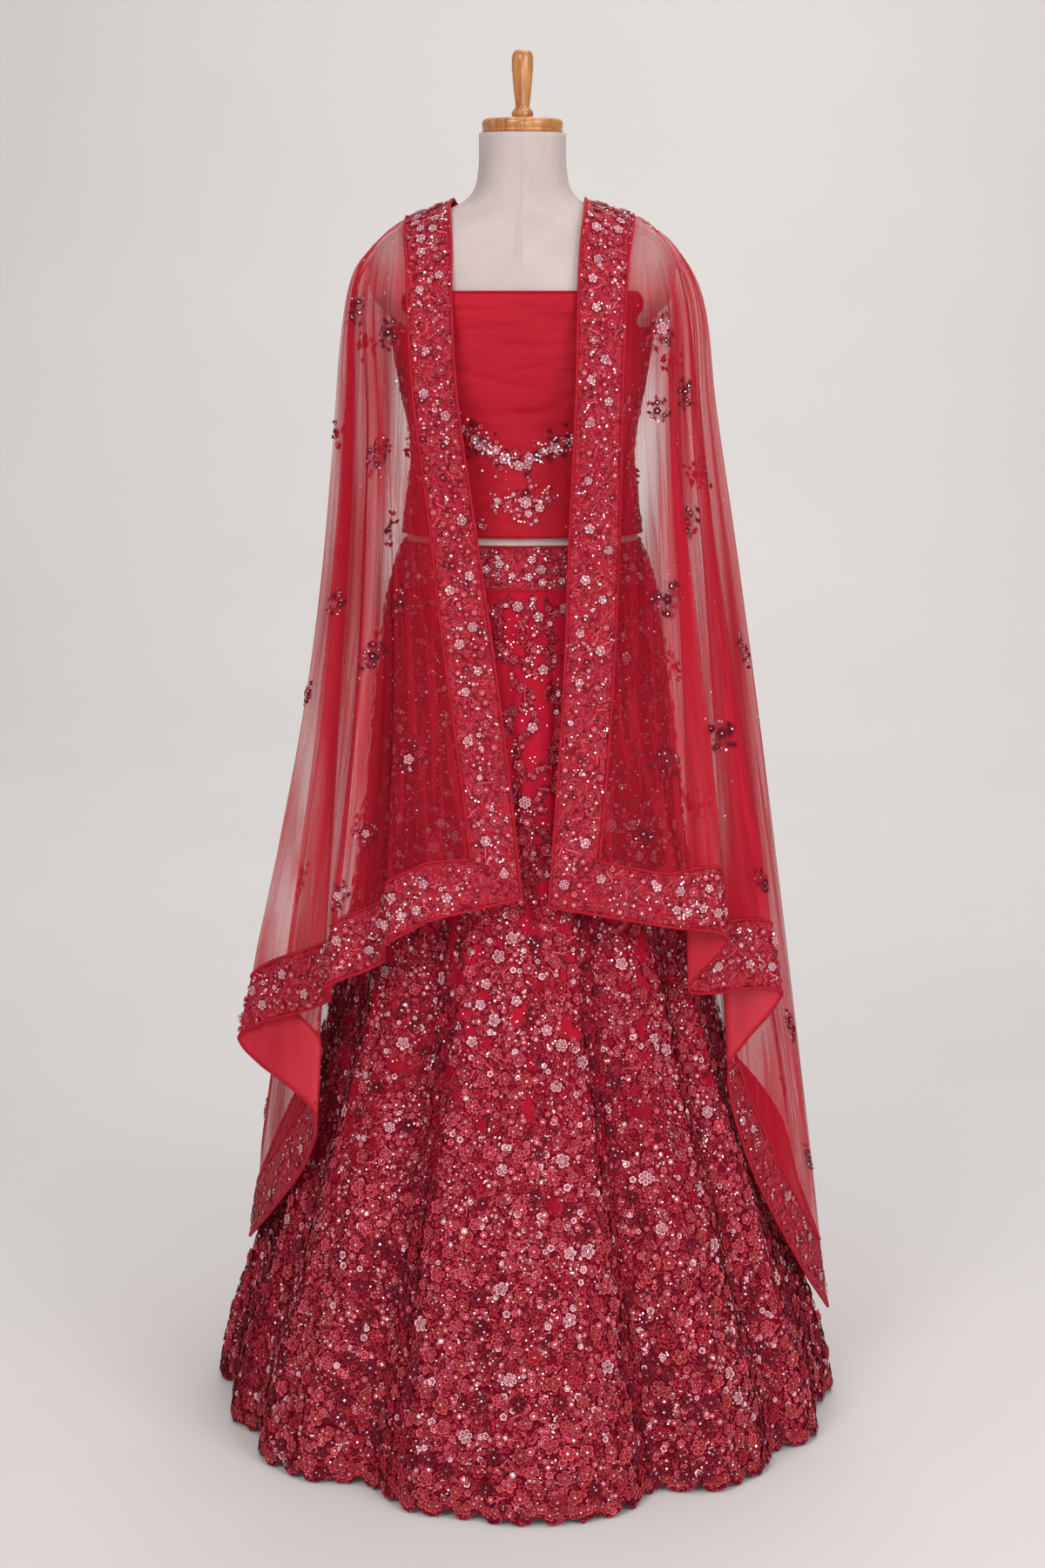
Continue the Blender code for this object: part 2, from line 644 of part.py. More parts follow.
def hang_columns():
    """Columns of the net, each ending in its run of the border, and the names of the exact ones."""
    neck = [RIGHT_OUTER_EDGE[0], *NECK_OUTER_EDGE, LEFT_OUTER_EDGE[0]]
    names = [line[-1] for line in HANG_LINES]
    paths = []
    for values in round_curve([row_key(line[:-1]) for line in HANG_LINES], STEPS_PER_LINE):
        start = min(1.0, max(0.0, float(values[9])))
        end = Vector(values[0:3])
        levels = [Vector((values[3 + 2 * k], values[4 + 2 * k], LEVELS[k])) for k in range(3)]
        paths.append(round_curve([along(neck, [start])[0], *levels, end], 6))
    columns, found = [], []
    for i, (path, run) in enumerate(zip(paths, border_runs(paths))):
        cut = 1 - run / length_of(path)
        net = along(path, [cut * s for s in NET_SHARES])
        border = along(path, [cut + (1 - cut) * s for s in BORDER_STEPS[1:]])
        columns.append(net + border)
        found.append(names[i // STEPS_PER_LINE] if i % STEPS_PER_LINE == 0 else None)
    return columns, found


def border_runs(paths):
    """Length of the border along each path, longer where its edge crosses the path at a slant."""
    runs = []
    for i, path in enumerate(paths):
        down = (Vector(path[-1]) - Vector(path[-4])).normalized()
        beside = [paths[j][-1] for j in (i - 1, i + 1) if 0 <= j < len(paths)]
        slants = [down.cross((Vector(p) - Vector(path[-1])).normalized()).length for p in beside]
        runs.append(BORDER_WIDTH * min(LONGEST_RUN, 1 / max(0.1, min(slants))))
    ends = [runs[0]] * 2 + runs + [runs[-1]] * 2
    return [sum(ends[i : i + 5]) / 5 for i in range(len(runs))]


def row_key(row):
    """A hang line's values with its lower end first, which sets the spacing of the curve."""
    start, x1, y1, x2, y2, x3, y3, end_x, end_y, end_z = row
    return [end_x, end_y, end_z, x1, y1, x2, y2, x3, y3, start]


def front_border_rows(inner, outer):
    """Points across a front border at each of the net's rows, from the shoulder ridge to the mitre."""
    inner_path, outer_path = round_curve(inner, 6), round_curve(outer, 6)
    ends = zip(along(inner_path, NET_SHARES), along(outer_path, NET_SHARES))
    return [[a.lerp(b, s) for s in BORDER_STEPS] for a, b in ends]


def neck_border_rows():
    """Points across the border behind the neck, between the two shoulder ridges."""
    inner = round_curve([RIGHT_INNER_EDGE[0], *NECK_INNER_EDGE, LEFT_INNER_EDGE[0]], 2)[1:-1]
    outer = round_curve([RIGHT_OUTER_EDGE[0], *NECK_OUTER_EDGE, LEFT_OUTER_EDGE[0]], 2)[1:-1]
    return [[Vector(a).lerp(Vector(b), s) for s in BORDER_STEPS] for a, b in zip(inner, outer)]


def shift_row(row, towards, distance=STOLE_SEAM / 2):
    """A row of points moved a little towards another row."""
    return [p + (q - p).normalized() * distance for p, q in zip(row, towards)]


def make_stole(group, finish, below):
    right = front_border_rows(RIGHT_INNER_EDGE, RIGHT_OUTER_EDGE)
    left = front_border_rows(LEFT_INNER_EDGE, LEFT_OUTER_EDGE)
    ribbon = settle([*right[::-1], *neck_border_rows(), *left], below, set())
    rows = len(NET_SHARES)
    right, left = ribbon[:rows][::-1], ribbon[-rows:]
    over_neck = ribbon[rows - 1 : len(ribbon) - rows + 1]

    columns, names = hang_columns()
    starts = [line[0] for line in HANG_LINES]
    for i, column in enumerate(columns):
        share = float(np.interp(i / STEPS_PER_LINE, range(len(starts)), starts))
        column[0] = along([row[-1] for row in over_neck], [share])[0]
    columns = [side_column(right), *columns, side_column(left)]
    names = [None, *names, None]
    last, depth = len(columns) - 1, len(columns[0])
    fixed = {(i, j) for i in range(last + 1) for j in range(depth) if i in (0, last) or j == 0}
    columns = settle(columns, below, fixed)

    add_border(group, finish, "stole_border_front_right", ribbon[:rows], STOLE_SEAM / 2)
    add_border(group, finish, "stole_border_neck", over_neck, STOLE_SEAM / 2)
    add_border(group, finish, "stole_border_front_left", ribbon[-rows:], STOLE_SEAM / 2)
    ends = [0, names.index("right_corner"), names.index("left_corner"), last]
    for name, first, stop in zip(("end_right", "hem", "end_left"), ends, ends[1:]):
        strip = [column[rows - 1 :] for column in columns[first : stop + 1]]
        add_border(group, finish, f"stole_border_{name}", strip, STOLE_SEAM / 2)
    cuts = [0, *[names.index(name) for name in BACK_SPLITS], last]
    across = [[facing(grid, j, len(BORDER_STEPS) - 1, -1) for j in range(rows)] for grid in (right, left)]
    right_side, left_side = [n * -1 for n in across[0]], across[1]
    over = len(over_neck)
    neck_facing = [facing(over_neck, k, len(BORDER_STEPS) - 1, -1) for k in range(over)]
    neck_edge = [row[-1] for row in over_neck]
    for name, first, stop in zip(("right", "back", "left"), cuts, cuts[1:]):
        part_columns = columns[first : stop + 1]
        beyond = {
            "first": right_side if first == 0 else [facing(columns, first, j, 1) for j in range(rows)],
            "last": left_side if stop == last else [facing(columns, stop, j, 1) for j in range(rows)],
            "top": [neck_facing[nearest(neck_edge, column[0])] for column in part_columns],
            "bottom": [facing(columns, i, rows - 1) for i in range(first, stop + 1)],
        }
        add_net(group, finish, f"stole_net_{name}", [c[:rows] for c in part_columns], beyond)


def nearest(points, place):
    """The number of the point that is nearest to a place."""
    return min(range(len(points)), key=lambda k: (points[k] - place).length)


def side_column(rows):
    """The net's edge along a front border, and then the mitre at the stole's corner."""
    return [row[-1].copy() for row in rows] + [p.copy() for p in rows[-1][-2::-1]]


def border_rims(rows):
    """Numbers of the points along the two piped edges of a border."""
    wide = len(BORDER_STEPS)
    return [r * wide + c for r in range(len(rows)) for c in (0, wide - 1)]


def add_border(group, finish, name, rows, gap):
    """A stretch of border whose two long edges are piped, trimmed at both its ends."""
    rows = [list(row) for row in rows]
    rows[0], rows[-1] = shift_row(rows[0], rows[1], gap), shift_row(rows[-1], rows[-2], gap)
    raised = border_rims(rows)
    return grid_sheet(group, name, rows, finish["embroidery"], BORDER_WALL, True, raised)


def facing(grid, i, j, towards_j=1):
    """The way a grid's outer side faces at one of its points, from the points beside it."""
    last = len(grid) - 1
    across = grid[min(i + 1, last)][j] - grid[max(i - 1, 0)][j]
    down = (grid[i][j + towards_j] - grid[i][j]) * towards_j
    return down.cross(across).normalized()


def trimmed(point, inside, edge, beyond, wall):
    """A seam's point moved back into its own sheet, further where the next sheet leans over it."""
    back = (inside - point).normalized()
    square = back - edge * back.dot(edge)
    slant = max(0.2, square.length)
    lean = min(0.93, max(0.0, square.normalized().dot(beyond) + 0.1))
    return point + back * (STOLE_SEAM + wall * lean / math.sqrt(1 - lean**2)) / slant


def edge_along(line, at):
    """The direction of a seam at one of its points."""
    return (line[min(at + 1, len(line) - 1)] - line[max(at - 1, 0)]).normalized()


def add_net(group, finish, name, columns, beyond):
    """A stretch of net, trimmed on all its sides. beyond has the facing of what each side joins."""
    grid = [list(column) for column in columns]
    last, low = len(grid) - 1, len(grid[0]) - 1
    for side, inside, facings in ((0, 1, beyond["first"]), (last, last - 1, beyond["last"])):
        for j in range(low + 1):
            edge = edge_along(columns[side], j)
            grid[side][j] = trimmed(columns[side][j], columns[inside][j], edge, facings[j], NET_WALL)
    for end, inside, facings in ((0, 1, beyond["top"]), (low, low - 1, beyond["bottom"])):
        line = [column[end] for column in grid]
        for i in range(last + 1):
            edge = edge_along(line, i)
            moved = trimmed(grid[i][end], grid[i][inside], edge, facings[i], NET_WALL)
            grid[i][end] = moved
    grid_sheet(group, name, grid, finish["net"], NET_WALL, flip=True)


def build():
    group = clear_scene()
    finish = make_finishes()
    torso = make_form(group, finish)
    clothes = make_blouse(group, finish) + make_waistband(group, finish)
    clothes += [make_gore(group, finish, number) for number in range(GORES)]
    make_lining(group, finish)
    make_stole(group, finish, worn_surface([torso, *clothes]))


build()
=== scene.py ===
"""Looks of the lehenga set: embroidered skirt, blouse cloth, sheer stole and dress form.

Metres, +Z up, front towards -Y. A bearing is the angle round the body from the front, towards +X.
"""

import itertools
import math

import bpy
import numpy as np
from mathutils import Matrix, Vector
from mathutils.bvhtree import BVHTree


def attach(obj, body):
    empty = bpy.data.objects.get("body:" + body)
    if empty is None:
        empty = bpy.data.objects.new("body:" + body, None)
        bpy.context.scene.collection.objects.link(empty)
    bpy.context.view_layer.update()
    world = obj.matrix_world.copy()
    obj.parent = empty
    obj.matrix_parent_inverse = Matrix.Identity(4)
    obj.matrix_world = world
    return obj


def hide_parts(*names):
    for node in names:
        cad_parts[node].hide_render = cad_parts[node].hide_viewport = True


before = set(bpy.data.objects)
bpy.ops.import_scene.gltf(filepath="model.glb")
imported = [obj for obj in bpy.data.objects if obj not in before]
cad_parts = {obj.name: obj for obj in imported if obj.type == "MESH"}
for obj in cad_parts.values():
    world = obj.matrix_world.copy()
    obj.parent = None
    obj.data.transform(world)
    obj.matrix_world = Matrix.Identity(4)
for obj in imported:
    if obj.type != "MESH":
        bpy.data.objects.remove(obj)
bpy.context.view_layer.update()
rng = np.random.default_rng(11)

SEAM = 0.0003

# Cloth walls
BLOUSE_WALL, GORE_WALL, NET_WALL = 0.0014, 0.0016, 0.0010

# Dress form: (height, half_width, half_depth)
FORM_SECTIONS = [
    (0.79, 0.138, 0.094), (0.8, 0.15, 0.104), (0.9, 0.158, 0.112), (1.0, 0.157, 0.111),
    (1.052, 0.152, 0.106), (1.104, 0.143, 0.098), (1.15, 0.131, 0.092), (1.2, 0.127, 0.091),
    (1.24, 0.132, 0.096), (1.29, 0.145, 0.106), (1.34, 0.154, 0.112), (1.37, 0.158, 0.111),
    (1.39, 0.177, 0.107), (1.41, 0.186, 0.102), (1.435, 0.187, 0.094), (1.46, 0.174, 0.084),
    (1.478, 0.152, 0.076), (1.491, 0.124, 0.07), (1.502, 0.092, 0.065), (1.515, 0.067, 0.06),
    (1.535, 0.0555, 0.057), (1.565, 0.0525, 0.0545), (1.592, 0.0525, 0.0525),
]
FORM_POWER = 2.2  # 2 is an ellipse, and more is squarer
FORM_COLUMNS, FORM_ROWS = 128, 130  # points round the form, and rings of them
BUST_HEIGHT, BUST_BEARING, BUST_RISE = 1.300, 33.0, 0.016
BUST_TALL, BUST_WIDE = 0.055, 24.0

CAP_RADIUS, CAP_THICK, CAP_ROUND = 0.0490, 0.0170, 0.0060
# Turned handle on the cap: (radius, height above the cap)
HANDLE_PROFILE = [
    (0.0055, 0.0805), (0.01, 0.0782), (0.0124, 0.0731), (0.013, 0.0638), (0.0122, 0.0509),
    (0.0105, 0.0324), (0.0089, 0.0176), (0.0087, 0.013), (0.0104, 0.0108), (0.0128, 0.0076),
    (0.0131, 0.0044), (0.012, 0.0),
]

# Blouse cloth: (height, slack at the side, slack in front), where slack is its distance from the form
BLOUSE_SLACK = [
    (1.113, 0.011, 0.013), (1.16, 0.01, 0.013), (1.21, 0.007, 0.009), (1.255, 0.0045, 0.0045),
    (1.3, 0.002, 0.0014), (1.34, 0.0012, 0.0012), (1.37, 0.0016, 0.0022), (1.39, 0.006, 0.0036),
    (1.405, 0.0012, 0.0012),
]
BLOUSE_HEM, BLOUSE_TOP, BLOUSE_SIDE_TOP = 1.113, 1.405, 1.362
BLOUSE_CORNER = (43.0, 58.0)  # bearings where the top edge rounds down to the side

# Waistband: (height, extra half width over the form)
BAND_SECTIONS = [(1.104, 0.0007), (1.080, 0.0060), (1.052, 0.0105)]
BAND_TOP, BAND_LOW = 1.1028, 1.052

# Skirt: (height, half_width, half_depth, share of the flutes' depth)
SKIRT_SECTIONS = [
    (1.0517, 0.163, 0.117, 0.0), (1.0, 0.171, 0.133, 0.08), (0.9, 0.186, 0.157, 0.2),
    (0.78, 0.201, 0.183, 0.36), (0.65, 0.221, 0.213, 0.52), (0.5, 0.256, 0.253, 0.68),
    (0.35, 0.304, 0.308, 0.8), (0.2, 0.354, 0.363, 0.92), (0.08, 0.396, 0.409, 1.0),
    (0.0, 0.412, 0.427, 1.0),
]
# Valleys between the skirt's flutes: (bearing, half_width in degrees, depth at the hem)
SKIRT_VALLEYS = [
    (-12, 6, 0.012), (-31, 9, 0.052), (-47, 5, 0.014), (-62, 8, 0.042), (-81, 9, 0.048),
    (-100, 7, 0.02), (-119, 8, 0.04), (-136, 6, 0.024), (-151, 6, 0.036), (-171, 9, 0.042),
    (14, 4, 0.006), (26, 7, 0.052), (42, 5, 0.012), (54, 6, 0.034), (74, 8, 0.03), (96, 8, 0.04),
    (119, 8, 0.032), (136, 6, 0.03), (151, 6, 0.024), (170, 8, 0.04),
]
GORES = 8
SCALLOPS_PER_GORE = 9
SCALLOP_DEPTH = 0.009
SKIRT_TOP = 1.0508
LINING_COLUMNS, LINING_ROWS = 168, 60
LINING_GAPS = [(1.049, 0.0008), (1.000, 0.004), (0.780, 0.014), (0.350, 0.036), (0.030, 0.048)]

# Stole
BORDER_WIDTH = 0.060
STOLE_CLEARANCE = 0.0014
NET_SHARES = (0.0, 0.035, 0.075, 0.12, 0.20, 0.33, 0.50, 0.67, 0.84, 1.0)  # rows down the net
BORDER_STEPS = (0.0, 0.09, 0.91, 1.0)  # across the border: piping, field, piping
# Edges of the border that falls in front: (x, y, height), from the shoulder ridge down.
# The inner edge ends at the stole's corner and the outer edge at the mitre's inner end.
RIGHT_INNER_EDGE = [
    (0.076, 0.002, 1.514), (0.07, -0.062, 1.484), (0.066, -0.106, 1.405), (0.063, -0.142, 1.325),
    (0.062, -0.152, 1.245), (0.057, -0.146, 1.16), (0.053, -0.158, 1.025), (0.043, -0.194, 0.847),
    (0.031, -0.232, 0.69),
]
RIGHT_OUTER_EDGE = [
    (0.134, 0.002, 1.495), (0.127, -0.062, 1.462), (0.122, -0.098, 1.39), (0.118, -0.13, 1.31),
    (0.116, -0.141, 1.23), (0.116, -0.139, 1.145), (0.111, -0.152, 1.01), (0.103, -0.184, 0.88),
    (0.091, -0.222, 0.742),
]
LEFT_INNER_EDGE = [
    (-0.082, 0.002, 1.512), (-0.084, -0.062, 1.48), (-0.084, -0.105, 1.4), (-0.08, -0.14, 1.32),
    (-0.072, -0.152, 1.24), (-0.062, -0.146, 1.17), (-0.04, -0.16, 1.02), (-0.019, -0.194, 0.86),
    (-0.001, -0.232, 0.7),
]
LEFT_OUTER_EDGE = [
    (-0.14, 0.002, 1.493), (-0.138, -0.062, 1.458), (-0.136, -0.098, 1.39), (-0.131, -0.13, 1.31),
    (-0.124, -0.141, 1.24), (-0.114, -0.14, 1.165), (-0.098, -0.154, 1.02), (-0.08, -0.186, 0.89),
    (-0.061, -0.224, 0.745),
]
# The border behind the neck, from the right shoulder to the left: (x, y, height) of both edges
NECK_INNER_EDGE = [
    (0.072, 0.04, 1.505), (0.045, 0.066, 1.498), (0.0, 0.076, 1.496), (-0.045, 0.066, 1.498),
    (-0.076, 0.04, 1.504),
]
NECK_OUTER_EDGE = [
    (0.126, 0.05, 1.478), (0.075, 0.088, 1.452), (0.0, 0.1, 1.44), (-0.078, 0.088, 1.452),
    (-0.13, 0.05, 1.477),
]
# Lines that the net hangs along, from the right front round the back to the left front: where each
# leaves the neck border (a share of the way from its right end to its left), its place at three
# heights, and its lower end.
LEVELS = (1.430, 1.250, 0.950)
# (start, x, y at 1.43, x, y at 1.25, x, y at 0.95, end x, end y, end height)
HANG_LINES = [
    (0.03, 0.1395, -0.083, 0.138, -0.14, 0.15, -0.18, 0.17, -0.226, 0.665),
    (0.043, 0.16, -0.08, 0.176, -0.125, 0.212, -0.165, 0.244, -0.206, 0.645),
    (0.055, 0.17, -0.068, 0.174, -0.104, 0.188, -0.14, 0.2, -0.182, 0.574),
    (0.067, 0.183, -0.052, 0.206, -0.078, 0.254, -0.098, 0.317, -0.132, 0.56),
    (0.081, 0.188, -0.036, 0.2, -0.052, 0.226, -0.078, 0.252, -0.14, 0.452),
    (0.099, 0.202, -0.012, 0.233, -0.014, 0.279, -0.018, 0.394, -0.03, 0.112),
    (0.123, 0.196, 0.012, 0.218, 0.012, 0.25, 0.022, 0.374, 0.078, 0.176),
    (0.15, 0.19, 0.036, 0.216, 0.046, 0.256, 0.066, 0.352, 0.152, 0.24),
    (0.2, 0.17, 0.062, 0.182, 0.082, 0.2, 0.108, 0.27, 0.206, 0.335),
    (0.26, 0.138, 0.086, 0.146, 0.112, 0.168, 0.148, 0.204, 0.27, 0.405),
    (0.34, 0.092, 0.102, 0.094, 0.122, 0.1, 0.162, 0.116, 0.268, 0.465),
    (0.42, 0.048, 0.108, 0.048, 0.136, 0.05, 0.186, 0.056, 0.296, 0.49),
    (0.5, 0.002, 0.108, 0.002, 0.13, 0.002, 0.17, 0.002, 0.276, 0.495),
    (0.58, -0.046, 0.108, -0.046, 0.136, -0.048, 0.186, -0.054, 0.296, 0.488),
    (0.66, -0.09, 0.102, -0.092, 0.122, -0.1, 0.162, -0.118, 0.268, 0.462),
    (0.74, -0.138, 0.086, -0.146, 0.112, -0.168, 0.148, -0.214, 0.268, 0.395),
    (0.8, -0.17, 0.062, -0.182, 0.082, -0.198, 0.108, -0.302, 0.19, 0.285),
    (0.85, -0.19, 0.034, -0.214, 0.046, -0.244, 0.062, -0.352, 0.1, 0.19),
    (0.88, -0.195, 0.008, -0.212, 0.01, -0.234, 0.016, -0.345, -0.036, 0.215),
    (0.905, -0.194, -0.012, -0.204, -0.018, -0.222, -0.04, -0.252, -0.16, 0.405),
    (0.925, -0.2, -0.03, -0.222, -0.05, -0.254, -0.072, -0.352, -0.104, 0.492),
    (0.937, -0.185, -0.054, -0.186, -0.092, -0.196, -0.138, -0.234, -0.176, 0.56),
    (0.948, -0.179, -0.066, -0.18, -0.11, -0.194, -0.158, -0.236, -0.2, 0.584),
    (0.958, -0.166, -0.077, -0.16, -0.124, -0.152, -0.168, -0.166, -0.21, 0.618),
    (0.967, -0.158, -0.082, -0.156, -0.132, -0.15, -0.182, -0.164, -0.232, 0.642),
    (0.976, -0.148, -0.086, -0.144, -0.142, -0.12, -0.184, -0.106, -0.238, 0.676),
]
STEPS_PER_LINE = 3
# Numbers of the hang lines at the cloth's lower corners, and where its back is split from its sides
CORNER_LINES, BACK_LINES = (5, 17), (9, 15)
LONGEST_RUN = 1.7  # the border's longest run along a line, in border widths


def through(places, values):
    """A smooth curve through the values that doesn't overshoot between them (monotone cubic)."""
    order = np.argsort(places)
    x, y = np.array(places, float)[order], np.array(values, float)[order]
    step, rise = np.diff(x), np.diff(y)
    grade = rise / step
    slope = np.zeros_like(y)
    slope[0], slope[-1] = grade[0], grade[-1]
    for i in range(1, len(x) - 1):
        if grade[i - 1] * grade[i] > 0:
            slope[i] = 2 / (1 / grade[i - 1] + 1 / grade[i])

    def value(at):
        at = np.asarray(at, float)
        i = np.clip(np.searchsorted(x, at) - 1, 0, len(step) - 1)
        t = np.clip((at - x[i]) / step[i], 0, 1)
        ends = (1 - 3 * t**2 + 2 * t**3) * y[i] + (3 * t**2 - 2 * t**3) * y[i + 1]
        return ends + step[i] * ((t - 2 * t**2 + t**3) * slope[i] + (t**3 - t**2) * slope[i + 1])

    return value


def columns_of(table):
    places = [row[0] for row in table]
    return [through(places, [row[i] for row in table]) for i in range(1, len(table[0]))]


form_width, form_depth = columns_of(FORM_SECTIONS)
skirt_width, skirt_depth, flute_share = columns_of(SKIRT_SECTIONS)
blouse_side, blouse_front = columns_of(BLOUSE_SLACK)
(band_out,), (lining_gap,) = columns_of(BAND_SECTIONS), columns_of(LINING_GAPS)


def ring(half_width, half_depth, bearing, height, power=2.0):
    """Points on a rounded-square ring round the body, from arrays of bearings and heights."""
    angle = np.radians(bearing)
    s, c = np.sin(angle), np.cos(angle)
    x = half_width * np.copysign(np.abs(s) ** (2 / power), s)
    y = -half_depth * np.copysign(np.abs(c) ** (2 / power), c)
    return np.stack([x, y, height + 0 * x], -1)


def turned(bearing):
    """A bearing as degrees either way from the front, -180 to 180."""
    return (bearing + 180) % 360 - 180


def form_points(bearing, height, out=0.0):
    points = ring(form_width(height) + out, form_depth(height) + out, bearing, height, FORM_POWER)
    side = (np.abs(turned(bearing)) - BUST_BEARING) / BUST_WIDE
    rise = BUST_RISE * np.exp(-(side**2) - ((height - BUST_HEIGHT) / BUST_TALL) ** 2)
    flat = points[..., :2] / np.linalg.norm(points[..., :2], axis=-1, keepdims=True)
    points[..., :2] += flat * rise[..., None]
    return points


def valley_depth(bearing):
    total = 0.0 * bearing
    for centre, half, depth in SKIRT_VALLEYS:
        total = total + depth * np.exp(-((turned(bearing - centre) / half) ** 2))
    return total


def skirt_points(bearing, height, inward=0.0):
    back = inward + valley_depth(bearing) * flute_share(height)
    return ring(skirt_width(height) - back, skirt_depth(height) - back, bearing, height)


# The stole's own places, worked out as in the solids


def round_curve(points, steps):
    """Points on a centripetal Catmull-Rom curve through the given ones, with steps between each two."""
    p = [np.array(q, float) for q in points]
    p = [2 * p[0] - p[1]] + p + [2 * p[-1] - p[-2]]
    made = []
    for p0, p1, p2, p3 in zip(p, p[1:], p[2:], p[3:]):
        k1 = max(np.linalg.norm((p1 - p0)[:3]), 1e-6) ** 0.5
        k2 = k1 + max(np.linalg.norm((p2 - p1)[:3]), 1e-6) ** 0.5
        k3 = k2 + max(np.linalg.norm((p3 - p2)[:3]), 1e-6) ** 0.5
        for step in range(steps):
            t = k1 + (k2 - k1) * step / steps
            a1 = (p0 * (k1 - t) + p1 * t) / k1
            a2 = (p1 * (k2 - t) + p2 * (t - k1)) / (k2 - k1)
            a3 = (p2 * (k3 - t) + p3 * (t - k2)) / (k3 - k2)
            b1 = (a1 * (k2 - t) + a2 * t) / k2
            b2 = (a2 * (k3 - t) + a3 * (t - k1)) / (k3 - k1)
            made.append((b1 * (k2 - t) + b2 * (t - k1)) / (k2 - k1))
    made.append(p[-2])
    return made


def along(points, shares):
    """Points at shares of the length of a polyline."""
    p = np.array([np.array(q, float) for q in points])
    reach = np.concatenate([[0.0], np.cumsum(np.linalg.norm(np.diff(p, axis=0), axis=1))])
    return [Vector([float(np.interp(s * reach[-1], reach, p[:, k])) for k in range(3)]) for s in shares]


def length_of(points):
    return sum((Vector(b) - Vector(a)).length for a, b in zip(points, points[1:]))


def cad_surface(names):
    """A search tree of the faces of CAD nodes."""
    points, faces = [], []
    for name in names:
        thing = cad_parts[name]
        start = len(points)
        points += [thing.matrix_world @ v.co for v in thing.data.vertices]
        faces += [[start + i for i in p.vertices] for p in thing.data.polygons]
    return BVHTree.FromPolygons(points, faces)


def settle(grid, below, fixed):
    """Moves the points of a grid out until it clears what it lies over, between its points too."""
    spots = []
    for i, column in enumerate(grid):
        for j in range(len(column)):
            beside, under = i + 1 < len(grid), j + 1 < len(column)
            spots.append([(i, j)])
            if beside:
                spots.append([(i, j), (i + 1, j)])
            if under:
                spots.append([(i, j), (i, j + 1)])
            if beside and under:
                spots += [[(i, j), (i + 1, j + 1)], [(i + 1, j), (i, j + 1)]]
    for _ in range(12):
        for spot in spots:
            middle = sum((grid[i][j] for i, j in spot), Vector()) / len(spot)
            near, normal = below.find_nearest(middle)[:2]
            short = STOLE_CLEARANCE - (middle - near).dot(normal)
            if short <= 0 or (middle - near).length > 0.05:
                continue
            free = [at for at in spot if at not in fixed]
            for i, j in free:
                grid[i][j] = grid[i][j] + normal * short * len(spot) / max(1, len(free)) * 0.7
    return grid


def hang_columns():
    """Columns of the net, each ending in its run of the border."""
    neck = [RIGHT_OUTER_EDGE[0], *NECK_OUTER_EDGE, LEFT_OUTER_EDGE[0]]
    keys = [[*line[7:10], *line[1:7], line[0]] for line in HANG_LINES]
    paths = []
    for values in round_curve(keys, STEPS_PER_LINE):
        start = min(1.0, max(0.0, float(values[9])))
        levels = [Vector((values[3 + 2 * k], values[4 + 2 * k], LEVELS[k])) for k in range(3)]
        paths.append(round_curve([along(neck, [start])[0], *levels, Vector(values[0:3])], 6))
    columns = []
    for path, run in zip(paths, border_runs(paths)):
        cut = 1 - run / length_of(path)
        net = along(path, [cut * s for s in NET_SHARES])
        columns.append(net + along(path, [cut + (1 - cut) * s for s in BORDER_STEPS[1:]]))
    return columns


def border_runs(paths):
    """Length of the border along each path, longer where its edge crosses the path at a slant."""
    runs = []
    for i, path in enumerate(paths):
        down = (Vector(path[-1]) - Vector(path[-4])).normalized()
        beside = [paths[j][-1] for j in (i - 1, i + 1) if 0 <= j < len(paths)]
        slants = [down.cross((Vector(p) - Vector(path[-1])).normalized()).length for p in beside]
        runs.append(BORDER_WIDTH * min(LONGEST_RUN, 1 / max(0.1, min(slants))))
    ends = [runs[0]] * 2 + runs + [runs[-1]] * 2
    return [sum(ends[i : i + 5]) / 5 for i in range(len(runs))]


def ribbon_rows(inner, outer):
    ends = zip(along(round_curve(inner, 6), NET_SHARES), along(round_curve(outer, 6), NET_SHARES))
    return [[a.lerp(b, s) for s in BORDER_STEPS] for a, b in ends]


def stole_grids():
    """The ribbon that runs up one front, behind the neck and down the other, and the hanging cloth."""
    under = ("form_torso", "blouse", "waist", "skirt_gore")
    below = cad_surface([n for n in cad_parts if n.startswith(under)])
    right = ribbon_rows(RIGHT_INNER_EDGE, RIGHT_OUTER_EDGE)
    left = ribbon_rows(LEFT_INNER_EDGE, LEFT_OUTER_EDGE)
    inner = round_curve([RIGHT_INNER_EDGE[0], *NECK_INNER_EDGE, LEFT_INNER_EDGE[0]], 2)[1:-1]
    outer = round_curve([RIGHT_OUTER_EDGE[0], *NECK_OUTER_EDGE, LEFT_OUTER_EDGE[0]], 2)[1:-1]
    neck = [[Vector(a).lerp(Vector(b), s) for s in BORDER_STEPS] for a, b in zip(inner, outer)]
    ribbon = settle([*right[::-1], *neck, *left], below, set())
    rows = len(NET_SHARES)
    over_neck = ribbon[rows - 1 : len(ribbon) - rows + 1]
    columns = hang_columns()
    starts = [line[0] for line in HANG_LINES]
    for i, column in enumerate(columns):
        share = float(np.interp(i / STEPS_PER_LINE, range(len(starts)), starts))
        column[0] = along([row[-1] for row in over_neck], [share])[0]
    fronts = (ribbon[:rows][::-1], ribbon[-rows:])
    sides = [[row[-1] for row in front] + front[-1][-2::-1] for front in fronts]
    sides = [[p.copy() for p in side] for side in sides]
    columns = [sides[0], *columns, sides[1]]
    last, depth = len(columns) - 1, len(columns[0])
    fixed = {(i, j) for i in range(last + 1) for j in range(depth) if i in (0, last) or j == 0}
    return np.array(ribbon), np.array(settle(columns, below, fixed))


